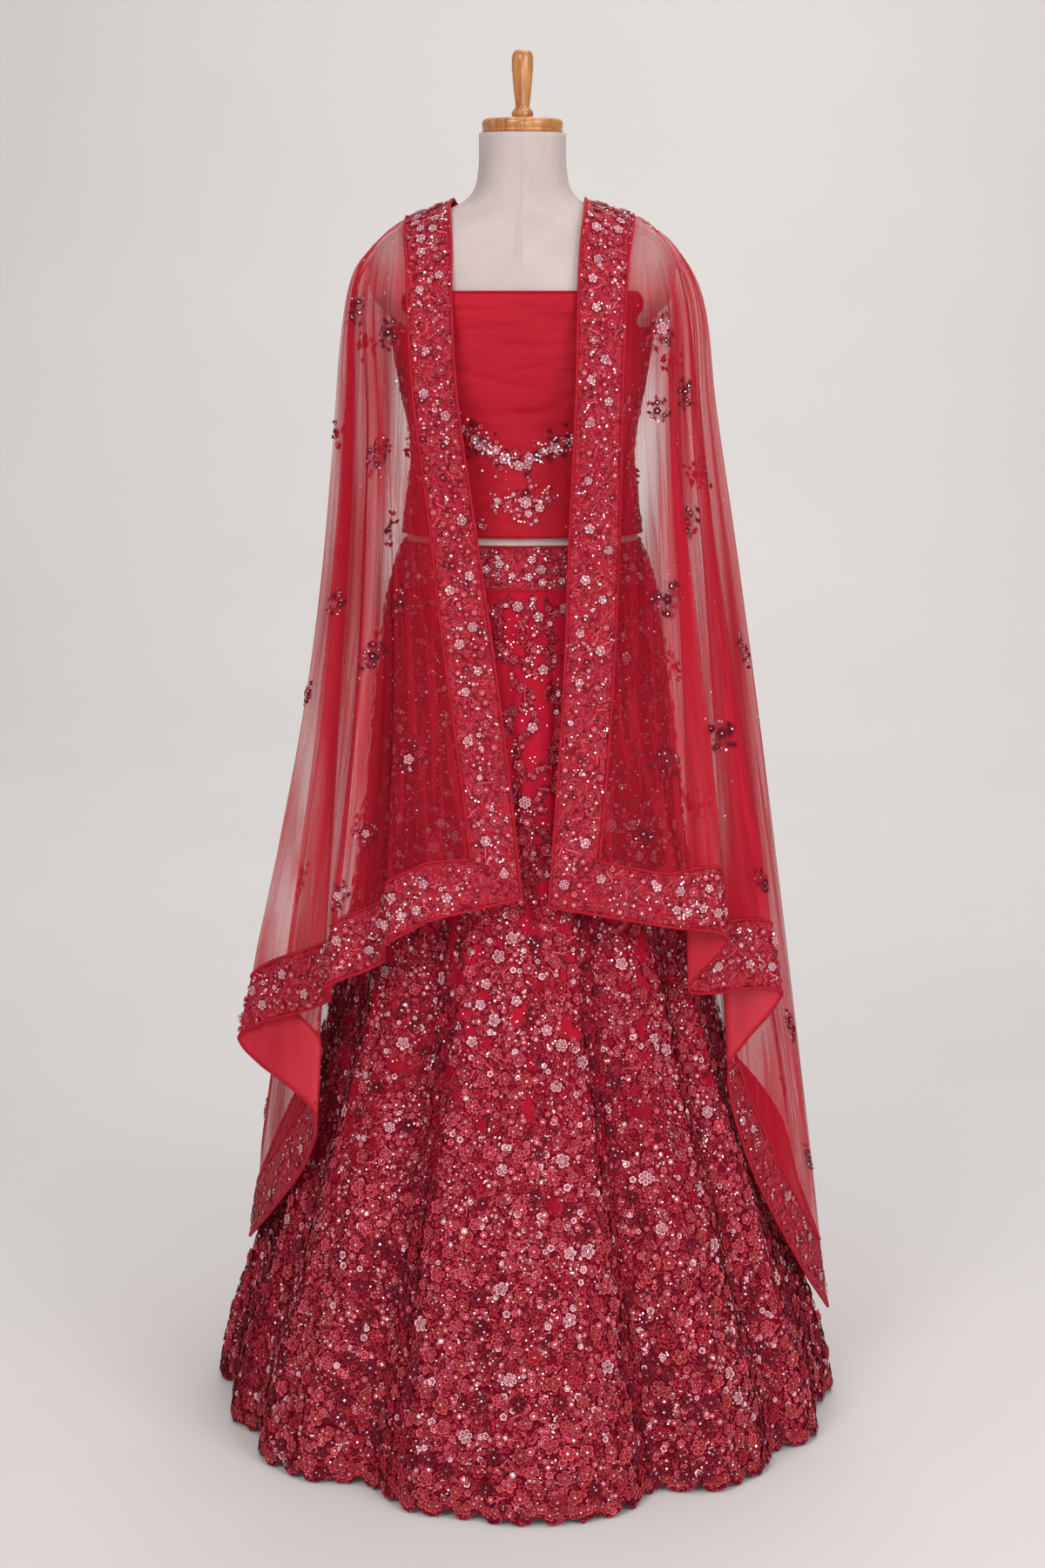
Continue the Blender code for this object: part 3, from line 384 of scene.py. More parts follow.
def spread(count, places):
    """Weights that read a Catmull-Rom curve through count points at the given places."""
    weights = np.zeros((len(places), count))
    for row, place in enumerate(places):
        k = int(min(max(math.floor(place), 0), count - 2))
        t = place - k
        parts = (-0.5 * t + t**2 - 0.5 * t**3, 1 - 2.5 * t**2 + 1.5 * t**3)
        parts += (0.5 * t + 2 * t**2 - 1.5 * t**3, -0.5 * t**2 + 0.5 * t**3)
        for offset, part in zip((-1, 0, 1, 2), parts):
            at = k + offset
            if at < 0:
                weights[row, 0] += 2 * part
                weights[row, 1] -= part
            elif at >= count:
                weights[row, count - 1] += 2 * part
                weights[row, count - 2] -= part
            else:
                weights[row, at] += part
    return weights


def refine(grid, across, down):
    """A finer grid through the points of a grid, at places in its own counts."""
    grid = np.asarray(grid, float)
    finer = np.einsum("ai,ijk->ajk", spread(grid.shape[0], across), grid)
    return np.einsum("bj,ajk->abk", spread(grid.shape[1], down), finer)


def unit(v):
    return v / np.maximum(np.linalg.norm(v, axis=-1, keepdims=True), 1e-12)


def round_turns(count):
    return np.arange(count) * 2 * math.pi / count


def numbered(across, down):
    """Row and column numbers of a grid, as two flat arrays."""
    i, j = np.meshgrid(np.arange(across), np.arange(down), indexing="ij")
    return i.ravel(), j.ravel()


class Cloth:
    """A sheet as a grid of points, with its outer side, its metres across and down, and reading of
    places on it by share (0 to 1) across and down."""

    def __init__(self, points):
        self.points = np.asarray(points, float)
        across, down = np.gradient(self.points, axis=0), np.gradient(self.points, axis=1)
        self.normals = unit(np.cross(down, across))
        shape = np.array(self.points.shape[:2]) - 1
        self.across = np.linalg.norm(across, axis=-1) * shape[0]
        self.down = np.linalg.norm(down, axis=-1) * shape[1]
        a = self.points[1:, :-1] - self.points[:-1, :-1]
        b = self.points[:-1, 1:] - self.points[:-1, :-1]
        self.areas = np.linalg.norm(np.cross(a, b), axis=-1)

    def read(self, values, u, v):
        shape = values.shape
        x = np.clip(u, 0, 1) * (shape[0] - 1)
        y = np.clip(v, 0, 1) * (shape[1] - 1)
        i = np.minimum(x.astype(int), shape[0] - 2)
        j = np.minimum(y.astype(int), shape[1] - 2)
        s, t = x - i, y - j
        if values.ndim == 3:
            s, t = s[:, None], t[:, None]
        top = values[i, j] * (1 - s) + values[i + 1, j] * s
        low = values[i, j + 1] * (1 - s) + values[i + 1, j + 1] * s
        return top * (1 - t) + low * t

    def shifted(self, u, v, dx, dy):
        """Shares that lie dx metres across and dy metres down from others."""
        return u + dx / self.read(self.across, u, v), v + dy / self.read(self.down, u, v)

    def moved(self, out):
        """The same sheet, a distance out."""
        out = np.asarray(out, float)
        return Cloth(self.points + self.normals * (out[..., None] if out.ndim else out))

    def uv(self):
        """Metres across and down at each point."""
        grid = self.points
        across = np.cumsum(np.linalg.norm(np.diff(grid, axis=0), axis=-1).mean(axis=1))
        down = np.cumsum(np.linalg.norm(np.diff(grid, axis=1), axis=-1).mean(axis=0))
        a, d = np.concatenate([[0], across]), np.concatenate([[0], down])
        return np.stack(np.meshgrid(a, -d, indexing="ij"), -1)


def dressed(thing, node):
    """Puts a piece in place of a CAD node, which it hides."""
    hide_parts(node)
    return thing


def mesh_from(name, points, faces, material, uv=None, tint=None, smooth=True, back=None):
    """A mesh object from arrays. faces is an (n, 3 or 4) array of point numbers."""
    points, faces = np.asarray(points, np.float32).reshape(-1, 3), np.asarray(faces, np.int32)
    mesh = bpy.data.meshes.new(name)
    mesh.vertices.add(len(points))
    mesh.vertices.foreach_set("co", points.ravel())
    mesh.loops.add(faces.size)
    mesh.loops.foreach_set("vertex_index", faces.ravel())
    mesh.polygons.add(len(faces))
    mesh.polygons.foreach_set("loop_start", np.arange(0, faces.size, faces.shape[1], dtype=np.int32))
    mesh.polygons.foreach_set("use_smooth", np.full(len(faces), smooth))
    mesh.update(calc_edges=True)
    if uv is not None:
        layer = mesh.uv_layers.new(name="UVMap")
        layer.data.foreach_set("uv", np.asarray(uv, np.float32).reshape(-1, 2)[faces.ravel()].ravel())
    if tint is not None:
        layer = mesh.attributes.new("tint", "FLOAT_COLOR", "POINT")
        layer.data.foreach_set("color", np.asarray(tint, np.float32).ravel())
    for each in (material, back):
        if each is not None:
            mesh.materials.append(each)
    mesh.validate()
    thing = bpy.data.objects.new(name, mesh)
    bpy.context.scene.collection.objects.link(thing)
    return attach(thing, "root") or thing


def quads(across, down, closed=False):
    """Faces of a grid whose outer side is that of Cloth.normals."""
    i, j = numbered(across if closed else across - 1, down - 1)
    k = (i + 1) % across
    return np.stack([i * down + j, i * down + j + 1, k * down + j + 1, k * down + j], 1)


def sheet_object(name, cloth, material, tint=None):
    shape = cloth.points.shape
    return mesh_from(name, cloth.points, quads(shape[0], shape[1]), material, cloth.uv(), tint)


def slab_object(name, cloth, thick, material, back, lift):
    """A sheet with a thickness: its outer face, its reverse in another material, and its rim."""
    a, b = cloth.points.shape[:2]
    outer, inner = cloth.moved(lift + thick).points, cloth.moved(lift).points
    faces = quads(a, b)
    rim = [i * b for i in range(a)] + [(a - 1) * b + j for j in range(1, b)]
    rim += [i * b + b - 1 for i in range(a - 2, -1, -1)] + [j for j in range(b - 2, 0, -1)]
    side = [[p, q, q + a * b, p + a * b] for p, q in zip(rim, rim[1:] + rim[:1])]
    points = np.concatenate([outer.reshape(-1, 3), inner.reshape(-1, 3)])
    every = np.concatenate([faces, faces[:, ::-1] + a * b, np.array(side)])
    uv = cloth.uv().reshape(-1, 2)
    thing = mesh_from(name, points, every, material, np.concatenate([uv, uv]), back=back)
    slots = np.zeros(len(every), np.int32)
    slots[len(faces) : 2 * len(faces)] = 1
    thing.data.polygons.foreach_set("material_index", slots)
    return thing


def tube_object(name, path, radius, material, sides):
    """A round cord along points."""
    path = np.asarray(path, float)
    ahead = unit(np.gradient(path, axis=0))
    lean = [0.0, 0.0, 1.0] if abs(ahead[0][2]) < 0.9 else [1.0, 0.0, 0.0]
    first = unit(np.cross(ahead[0], lean))
    c, s = np.cos(round_turns(sides))[:, None], np.sin(round_turns(sides))[:, None]
    rings = []
    for place, way in zip(path, ahead):
        first = unit(first - way * first.dot(way))
        rings.append(place + radius * (c * first + s * np.cross(way, first)))
    i, j = numbered(len(path) - 1, sides)
    i, k = i * sides, (j + 1) % sides
    faces = np.stack([i + j, i + sides + j, i + sides + k, i + k], 1)
    reach = np.concatenate([[0], np.cumsum(np.linalg.norm(np.diff(path, axis=0), axis=1))])
    uv = np.stack(np.meshgrid(reach, np.arange(sides) / sides * radius * 6, indexing="ij"), -1)
    mesh_from(name, np.array(rings), faces, material, uv)


# Embroidery: small templates, stamped over a cloth in numbers


def fan(centre, rim):
    """A shape from its sunk centre and its rim. A shade is how far a point goes from the fill, 0, to
    the corded outline, 1."""
    count = len(rim)
    faces = np.array([[0, 1 + k, 1 + (k + 1) % count] for k in range(count)])
    return np.vstack([[centre], rim]), faces, np.array([0.0] + [1.0] * count)


def petal(x, y, radius, height, turn):
    rim = np.stack([x + radius * np.cos(turn), y + radius * np.sin(turn), height + 0 * turn], 1)
    return fan((x, y, height - 0.09), rim)


def joined(parts):
    points, faces, shades = zip(*parts)
    starts = np.cumsum([0] + [len(p) for p in points[:-1]])
    faces = [f + start for f, start in zip(faces, starts)]
    return np.concatenate(points), np.concatenate(faces), np.concatenate(shades)


def flower_template(petals, sides):
    """A flower one unit across."""
    parts = []
    for k in range(petals):
        way = 2 * math.pi * k / petals
        x, y = 0.27 * math.cos(way), 0.27 * math.sin(way)
        turn = round_turns(sides) + (way + math.pi / sides)
        parts.append(petal(x, y, 0.235, 0.15 + 0.02 * (k % 2), turn))
    return joined(parts)


def bud_template(points):
    """A small flower: a star with rounded points and a sunk middle."""
    turn = np.arange(points * 2) * math.pi / points
    reach = np.where(np.arange(points * 2) % 2 == 0, 0.54, 0.44)
    return fan((0, 0, 0.06), np.stack([reach * np.cos(turn), reach * np.sin(turn), 0.20 + 0 * turn], 1))


def leaf_template():
    p = np.array([[0.5, 0, 0.10], [0.05, 0.27, 0.15], [-0.5, 0, 0.10], [0.05, -0.27, 0.15], [0, 0, 0.05]])
    return p, np.array([[0, 1, 4], [1, 2, 4], [2, 3, 4], [3, 0, 4]]), np.array([1.0, 1.0, 1.0, 1.0, 0.0])


def stem_template(segments, bend):
    t = np.linspace(-0.5, 0.5, segments + 1)
    middle = np.stack([t, bend * np.sin(t * math.pi * 1.4), 0.07 + 0 * t], 1)
    way = unit(np.gradient(middle, axis=0))
    side = np.stack([-way[:, 1], way[:, 0], 0 * t], 1) * 0.05
    p = np.stack([middle - side, middle + side], 1).reshape(-1, 3)
    f = [face for a in range(0, 2 * segments, 2) for face in ([a, a + 2, a + 1], [a + 1, a + 2, a + 3])]
    return p, np.array(f), np.full(len(p), 0.70)


def disc_template(sides):
    turn = round_turns(sides)
    p = np.stack([0.5 * np.cos(turn), 0.5 * np.sin(turn), 0.25 + 0 * turn], 1)
    return p, np.array([[0, k, k + 1] for k in range(1, sides - 1)]), np.full(sides, 1.0)


def bead_template():
    p = np.array([[0.5, 0, 0.4], [0, 0.5, 0.4], [-0.5, 0, 0.4], [0, -0.5, 0.4], [0, 0, 0.95], [0, 0, 0]])
    f = np.array([[0, 1, 4], [1, 2, 4], [2, 3, 4], [3, 0, 4], [1, 0, 5], [2, 1, 5], [3, 2, 5], [0, 3, 5]])
    return p, f, np.full(6, 1.0)


TEMPLATES = {
    "flower": flower_template(5, 6),
    "rose": flower_template(6, 5),
    "bud": bud_template(5),
    "leaf": leaf_template(),
    "stem": stem_template(3, 0.14),
    "sequin": disc_template(6),
    "bead": bead_template(),
}


class Stitches:
    """Stamps waiting to be sewn on one cloth: kind -> rows of (u, v, angle, size, colour)."""

    def __init__(self):
        self.rows = {}

    def add(self, kind, u, v, angle, size, colour):
        self.rows.setdefault(kind, []).append((u, v, angle, size, *colour))

    def add_round(self, cloth, u, v, stamps, left, right, top, low):
        """Adds stamps (kind, metres away, bearing, angle, size, colour) round a place, where they fall
        within limits."""
        reach, way = np.array([s[1] for s in stamps]), np.array([s[2] for s in stamps])
        here = np.full(len(way), u), np.full(len(way), v)
        a, b = cloth.shifted(*here, reach * np.cos(way), reach * np.sin(way))
        for stamp, x, y in zip(stamps, a, b):
            if left < x < right and top < y < low:
                self.add(stamp[0], float(x), float(y), *stamp[3:])

    def mesh(self, cloth, kinds, tilt):
        """Points, faces and colours of all the stamps of some kinds."""
        every = []
        for kind in kinds:
            if kind not in self.rows:
                continue
            rows = np.array(self.rows[kind])
            p, f, shade = TEMPLATES[kind]
            u, v, angle, size = rows[:, :4].T
            place = cloth.read(cloth.points, u, v)
            normal = unit(cloth.read(cloth.normals, u, v))
            ahead = cloth.read(cloth.points, u + 0.004, v) - cloth.read(cloth.points, u - 0.004, v)
            ahead = unit(ahead - normal * (ahead * normal).sum(1, keepdims=True))
            if tilt:
                normal = unit(normal + rng.normal(0, tilt, (len(rows), 3)))
                ahead = unit(ahead - normal * (ahead * normal).sum(1, keepdims=True))
            side = np.cross(normal, ahead)
            c, s = np.cos(angle)[:, None], np.sin(angle)[:, None]
            ways = ahead * c + side * s, side * c - ahead * s, normal
            scaled = p[None] * size[:, None, None]
            shift = sum(scaled[..., k : k + 1] * way[:, None] for k, way in enumerate(ways))
            points = place[:, None] + shift
            vary = np.exp(rng.normal(0, 0.10, (len(rows), 1)))
            colour = np.repeat((rows[:, 4:7] * vary)[:, None], len(p), 1)
            shade = np.broadcast_to(shade[None, :, None], (*colour.shape[:2], 1))
            faces = f[None] + (np.arange(len(rows)) * len(p))[:, None, None]
            colour = np.concatenate([colour, shade], -1).reshape(-1, 4)
            every.append((points.reshape(-1, 3), faces.reshape(-1, 3), colour))
        return joined(every)

    def sew(self, name, cloth, slot, lift, gap, tilt=0.25):
        """Makes the raised thread, and the sequins and beads that lie a gap above it at all angles."""
        raised = cloth.moved(lift)
        thread = "flowers", raised, ("flower", "rose", "bud", "leaf", "stem"), LOOK["thread"], 0.0
        shine = "sequins", raised.moved(gap), ("sequin", "bead"), LOOK["sequin"], tilt
        for part, base, kinds, material, lean in (thread, shine):
            points, faces, colours = self.mesh(base, kinds, lean)
            thing = mesh_from(f"{name}_{part}", points, faces, material, tint=colours, smooth=False)


# Thread, sequin and bead colours
CORAL = (0.76, 0.095, 0.135)
BRICK = (0.66, 0.085, 0.095)
ROSE = (0.98, 0.50, 0.56)
WINE = (0.24, 0.016, 0.036)
RED = (0.56, 0.034, 0.060)
SILVER = (0.98, 0.86, 0.90)
GARNET = (0.42, 0.10, 0.14)


def choose(options, weights):
    return options[int(rng.choice(len(options), p=np.array(weights) / sum(weights)))]


def sprig(work, cloth, u, v, size, tones, arms, trail, soft=(CORAL, RED, WINE)):
    """One embroidered spray: a flower, buds and leaves on short stems beside it, and a trail of sequins.
    tones is (colours, weights) of the flower, and soft the colours of the rest."""
    thread = choose(*tones)
    turn = rng.uniform(0, 2 * math.pi)
    work.add(choose(("flower", "rose"), (3, 1)), u, v, turn, size, thread)
    work.add("sequin", u, v, turn, size * 0.24, SILVER)
    stamps = []
    if thread is ROSE:
        for k in range(5):
            way = turn + k * 2 * math.pi / 5
            stamps.append(("sequin", size * 0.30, way, way, size * 0.17, (0.98, 0.66, 0.72)))
    start = rng.uniform(0, 2 * math.pi)
    for k in range(arms):
        way = start + k * 2 * math.pi / arms + rng.normal(0, 0.25)
        curl = rng.choice([-1, 1]) * rng.uniform(0.3, 0.8)
        tone = choose(soft, (5, 2, 1))
        stamps.append(("stem", size * 0.88, way + curl * 0.3, way + curl * 0.9, size * 0.72, tone))
        side = rng.choice([-1, 1])
        last = choose(("leaf", "bud"), (1, 1))
        for reach, kind in ((0.70, "leaf"), (0.86, "leaf"), (1.08, "leaf"), (1.28, "bud"), (1.58, last)):
            bent = way + curl * (reach - 0.55)
            side = -side
            leaf = kind == "leaf"
            tone = choose(soft, (6, 2, 1)) if leaf else choose((CORAL, RED, ROSE), (5, 1.5, 1.2))
            scale = (0.47 if leaf else 0.52) * rng.uniform(0.8, 1.15)
            angle = bent + side * rng.uniform(0.5, 1.0)
            swing = 0.17 * side if leaf else 0.0
            stamps.append((kind, size * reach, bent + swing, angle, size * scale, tone))
            if not leaf:
                tone = choose((SILVER, GARNET), (1, 1))
                stamps.append(("sequin", size * reach, bent, angle, size * 0.16, tone))
    way, reach = rng.uniform(0, 2 * math.pi), size * 0.9
    for _ in range(trail):
        way += rng.normal(0.25, 0.15)
        reach += size * rng.uniform(0.1, 0.22)
        tone = choose((SILVER, GARNET), (2, 1))
        stamps.append(("sequin", reach, way, way, rng.uniform(0.0018, 0.0028), tone))
    work.add_round(cloth, u, v, stamps, 0.012, 0.988, 0.006, 0.994)


NEIGHBOURS = list(itertools.product((-1, 0, 1), repeat=3))


def scattered(cloth, spacing, tries):
    """Shares of places that keep their distance from each other. spacing(u, v) is in metres."""
    chance = cloth.areas.ravel() / cloth.areas.sum()
    shape = cloth.areas.shape
    total = int(cloth.areas.sum() / 0.0003 * tries / 20)
    cells = rng.choice(len(chance), size=total, p=chance)
    u = (cells // shape[1] + rng.random(total)) / shape[0]
    v = (cells % shape[1] + rng.random(total)) / shape[1]
    places = cloth.read(cloth.points, u, v)
    keep = np.array([spacing(a, b) for a, b in zip(u, v)])
    chosen, boxes = [], {}
    box = max(0.004, float(keep.max()))
    for k in np.flatnonzero(keep > 0):
        x, y, z = (places[k] // box).astype(int).tolist()
        near = (m for i, j, n in NEIGHBOURS for m in boxes.get((x + i, y + j, z + n), ()))
        if all(np.sum((places[k] - places[m]) ** 2) >= keep[k] ** 2 for m in near):
            boxes.setdefault((x, y, z), []).append(k)
            chosen.append(k)
    return u[chosen], v[chosen]


def sewn_shade_share(cloth, work):
    """How near each point of a cloth is to the flowers and leaves sewn on it, from 0 to 1: where the
    skirt's ground takes painted shade round them.
    """
    kinds = ("flower", "rose", "bud", "leaf")
    rows = np.array([row[:4] for kind in kinds for row in work.rows.get(kind, [])])
    at = cloth.read(cloth.points, rows[:, 0], rows[:, 1])
    reach = rows[:, 3] * 0.42 + 0.0012
    points = cloth.points.reshape(-1, 3)
    away = (points**2).sum(1)[:, None] + (at**2).sum(1)[None] - 2 * points @ at.T
    return np.clip(np.exp(-np.maximum(away, 0) / reach[None] ** 2).sum(1), 0, 1)


# Materials


class Look:
    """A node material with a Principled shader, and short ways to build what feeds it."""

    def __init__(self, name, colour, roughness, **values):
        self.material = bpy.data.materials.new(name)
        self.material.use_nodes = True
        self.tree = self.material.node_tree
        self.shader = self.tree.nodes["Principled BSDF"]
        self.shader.inputs["Base Color"].default_value = (*colour, 1)
        self.shader.inputs["Roughness"].default_value = roughness
        for key, value in values.items():
            self.shader.inputs[key.replace("_", " ")].default_value = value
        self.last_bump = None

    def node(self, kind, inputs=None, **values):
        made = self.tree.nodes.new(kind)
        for key, value in values.items():
            setattr(made, key, value)
        for key, value in (inputs or {}).items():
            made.inputs[key].default_value = value
        return made

    def link(self, a, b):
        self.tree.links.new(a, b)

    def at(self, stretch=(1, 1, 1), space="UV"):
        scale = self.node("ShaderNodeMapping", {"Scale": stretch})
        self.link(self.node("ShaderNodeTexCoord").outputs[space], scale.inputs["Vector"])
        return scale.outputs["Vector"]

    def placed(self, output, kind, at, inputs, **values):
        """What a texture node gives at places."""
        made = self.node(kind, inputs, **values)
        self.link(at, made.inputs["Vector"])
        return made.outputs[output]

    def noise(self, at, scale, detail=2.0, rough=0.5):
        inputs = {"Scale": scale, "Detail": detail, "Roughness": rough}
        return self.placed("Fac", "ShaderNodeTexNoise", at, inputs)

    def cells(self, at, scale, feature="F1", random=1.0):
        inputs = {"Scale": scale, "Randomness": random}
        return self.placed("Distance", "ShaderNodeTexVoronoi", at, inputs, feature=feature)

    def waves(self, at, scale, way, distort):
        inputs = {"Scale": scale, "Distortion": distort}
        return self.placed("Fac", "ShaderNodeTexWave", at, inputs, bands_direction=way)

    def tint(self):
        return self.node("ShaderNodeVertexColor", layer_name="tint").outputs

    def tint_parts(self):
        parts = self.node("ShaderNodeSeparateColor")
        self.link(self.tint()["Color"], parts.inputs["Color"])
        return parts.outputs

    def ramp(self, value, stops):
        """A colour ramp. A stop's number in place of a colour is a grey."""
        made = self.node("ShaderNodeValToRGB")
        steps = made.color_ramp.elements
        while len(steps) > 1:
            steps.remove(steps[-1])
        for k, (at, colour) in enumerate(stops):
            step = steps.new(at) if k else steps[0]
            step.position = at
            step.color = (*colour, 1) if isinstance(colour, tuple) else (colour, colour, colour, 1)
        self.link(value, made.inputs["Fac"])
        return made.outputs["Color"]

    def mixed(self, share, a, b, way="MIX"):
        made = self.node("ShaderNodeMix", data_type="RGBA", blend_type=way)
        for socket, value in (("Factor", share), ("A", a), ("B", b)):
            target = next(s for s in made.inputs if s.name == socket and s.enabled)
            if isinstance(value, float):
                target.default_value = value
            elif isinstance(value, tuple):
                target.default_value = (*value, 1)
            else:
                self.link(value, target)
        return next(s for s in made.outputs if s.enabled)

    def times(self, a, b):
        return self.mixed(1.0, a, b, "MULTIPLY")

    def range(self, value, low, high, start=0.0, stop=1.0):
        inputs = {"From Min": start, "From Max": stop, "To Min": low, "To Max": high}
        made = self.node("ShaderNodeMapRange", inputs)
        self.link(value, made.inputs["Value"])
        return made.outputs["Result"]

    def scaled(self, value, by, plus):
        made = self.node("ShaderNodeMath", {1: by, 2: plus}, operation="MULTIPLY_ADD")
        self.link(value, made.inputs[0])
        return made.outputs[0]

    def added(self, a, b):
        """a + b, kept from 0 to 1."""
        made = self.node("ShaderNodeMath", operation="ADD", use_clamp=True)
        self.link(a, made.inputs[0])
        self.link(b, made.inputs[1])
        return made.outputs[0]

    def colour(self, socket):
        self.link(socket, self.shader.inputs["Base Color"])

    def tones(self, value, low, low_colour, high, high_colour):
        self.colour(self.ramp(value, [(low, low_colour), (high, high_colour)]))

    def rough(self, value, low, high):
        self.link(self.range(value, low, high), self.shader.inputs["Roughness"])

    def bump(self, socket, height, strength=1.0):
        made = self.node("ShaderNodeBump", {"Distance": height, "Strength": strength})
        self.link(socket, made.inputs["Height"])
        if self.last_bump:
            self.link(self.last_bump.outputs["Normal"], made.inputs["Normal"])
        self.last_bump = made
        self.link(made.outputs["Normal"], self.shader.inputs["Normal"])


def curls(look, at, wide, narrow):
    """Lines of cord that curl in small rings of two sizes."""
    lines, edge = [], 0.05
    for scale, low, high in ((wide, 0.36, 0.50), (narrow, 0.22, 0.38), (wide * 0.63, 0.20, 0.28)):
        stops = [(low - edge, 0), (low, 1), (high, 1), (high + edge, 0)]
        lines.append(look.ramp(look.cells(at, scale), stops))
    both = look.times(lines[0], lines[1])
    return look.mixed(1.0, look.mixed(0.72, both, lines[0], "LIGHTEN"), lines[2], "LIGHTEN")


def make_looks():
    sheen = dict(Sheen_Weight=0.1, Sheen_Roughness=0.5, Specular_IOR_Level=0.25)
    form = Look("form_cloth", (0.60, 0.47, 0.45), 0.85, **sheen)
    at = form.at()
    form.tones(form.noise(at, 14.0, 4.0), 0.3, (0.510, 0.425, 0.405), 0.7, (0.585, 0.490, 0.468))
    form.bump(form.noise(at, 420.0, 2.0), 0.0006, 0.3)
    for way in "XY":
        form.bump(form.waves(at, 260.0, way, 1.0), 0.0002, 0.4)

    wood = Look("turned_wood", (0.45, 0.17, 0.04), 0.34, Coat_Weight=0.6, Coat_Roughness=0.12)
    grain = wood.noise(wood.at((60, 60, 7), "Object"), 2.2, 6.0, 0.62)
    stops = [(0.30, (0.19, 0.055, 0.012)), (0.48, (0.44, 0.16, 0.035)), (0.68, (0.66, 0.30, 0.085))]
    wood.colour(wood.ramp(grain, stops))
    wood.rough(grain, 0.28, 0.44)
    wood.bump(grain, 0.0004, 0.25)

    iron = Look("painted_iron", (0.05, 0.05, 0.05), 0.5, Metallic=0.7)
    at = iron.at(space="Object")
    iron.rough(iron.noise(at, 60.0, 4.0), 0.35, 0.6)
    iron.tones(iron.noise(at, 22.0, 4.0), 0.3, (0.035, 0.035, 0.037), 0.7, (0.075, 0.073, 0.07))
    iron.bump(iron.noise(at, 900.0, 2.0), 0.0003, 0.35)

    steel = Look("pole_steel", (0.55, 0.55, 0.56), 0.3, Metallic=1.0)
    brushed = steel.noise(steel.at((1, 1, 60), "Object"), 9.0, 4.0)
    steel.rough(brushed, 0.22, 0.42)
    steel.tones(brushed, 0.3, (0.47, 0.47, 0.48), 0.7, (0.60, 0.60, 0.61))

    satin = Look("blouse_satin", (0.47, 0.012, 0.026), 0.5, Specular_IOR_Level=0.10)
    at = satin.at()
    satin.tones(satin.noise(at, 9.0, 3.0), 0.25, (0.40, 0.006, 0.019), 0.75, (0.48, 0.010, 0.026))
    satin.rough(satin.noise(at, 30.0, 2.0), 0.36, 0.5)
    satin.bump(satin.waves(at, 330.0, "Y", 2.0), 0.00012, 0.6)
    satin.bump(satin.noise(satin.at((0.45, 1.0, 1.0)), 60.0, 5.0, 0.6), 0.0050, 0.6)
    satin.bump(satin.noise(satin.at((0.5, 1.3, 1.0)), 16.0, 2.0), 0.0070, 0.6)
    satin.bump(satin.waves(at, 420.0, "X", 1.0), 0.00012, 0.5)

    # The tint's first value is how dark the skirt's ground goes from red satin: painted shade in its
    # valleys and creases, and darker towards the hem. Its second is how near the flowers are, for painted
    # shade round them
    ground = Look("skirt_cloth", (0.4, 0.01, 0.022), 0.6, Specular_IOR_Level=0.06)
    at, tint = ground.at(), ground.tint_parts()
    uneven = ground.scaled(ground.noise(ground.at((1.6, 0.5, 1)), 26.0, 4.0, 0.6), 0.8, -0.4)
    shade_and_hem_dark = ground.added(tint["Red"], uneven)
    stops = [(0.0, (0.50, 0.008, 0.028)), (0.35, (0.38, 0.005, 0.021))]
    stops += [(0.65, (0.24, 0.003, 0.014)), (1.0, (0.16, 0.002, 0.010))]
    base = ground.ramp(shade_and_hem_dark, stops)
    # Fine tonal embroidery round the raised flowers: curls of coral cord, with painted shade in the gaps
    # between them and round the flowers
    near = ground.added(ground.scaled(ground.noise(at, 95.0, 3.0, 0.6), 0.9, -0.45), tint["Green"])
    near = ground.added(near, ground.scaled(tint["Red"], 0.48, -0.17))
    curls_and_shade_patch = ground.ramp(near, [(0.27, 0), (0.36, 1)])
    line = curls(ground, at, 195.0, 300.0)
    # The gaps between the curls: painted shade, darker where the ground is darker
    gap = ground.mixed(shade_and_hem_dark, (0.25, 0.001, 0.016), (0.15, 0.001, 0.011))
    ground.colour(ground.mixed(curls_and_shade_patch, base, ground.mixed(line, gap, (0.60, 0.052, 0.082))))
    ground.bump(ground.times(line, curls_and_shade_patch), 0.0014, 0.9)
    ground.bump(ground.cells(at, 700.0), 0.0003, 0.6)

    field = Look("border_field", (0.36, 0.012, 0.026), 0.55, Specular_IOR_Level=0.12)
    at = field.at()
    stops = [(0.40, (0.42, 0.004, 0.024)), (0.60, (0.20, 0.001, 0.013))]
    base = field.ramp(field.noise(at, 75.0, 3.0), stops)
    line = curls(field, at, 215.0, 320.0)
    field.colour(field.mixed(line, base, (0.60, 0.062, 0.086)))
    field.bump(line, 0.0014, 0.9)
    field.bump(field.cells(at, 700.0), 0.0003, 0.5)

    piping = Look("piping", (0.47, 0.016, 0.032), 0.55, Specular_IOR_Level=0.10)
    at = piping.at()
    piping.tones(piping.noise(at, 60.0, 2.0), 0.3, (0.37, 0.007, 0.020), 0.7, (0.46, 0.014, 0.030))
    piping.bump(piping.waves(at, 300.0, "X", 2.0), 0.0003, 0.6)

    reverse = Look("satin_reverse", (0.5, 0.012, 0.028), 0.40, Specular_IOR_Level=0.25)
    at = reverse.at()
    reverse.tones(reverse.noise(at, 10.0, 3.0), 0.3, (0.45, 0.012, 0.028), 0.7, (0.56, 0.020, 0.040))
    reverse.bump(reverse.waves(at, 330.0, "Y", 2.0), 0.00012, 0.5)
    reverse.bump(reverse.noise(at, 26.0, 3.0), 0.0016, 0.4)

    lining = Look("skirt_lining", (0.5, 0.012, 0.026), 0.45, Specular_IOR_Level=0.25)
    at = lining.at()
    lining.tones(lining.noise(at, 6.0, 3.0), 0.3, (0.44, 0.010, 0.022), 0.7, (0.54, 0.016, 0.032))
    lining.bump(lining.waves(at, 300.0, "X", 2.0), 0.00012, 0.5)
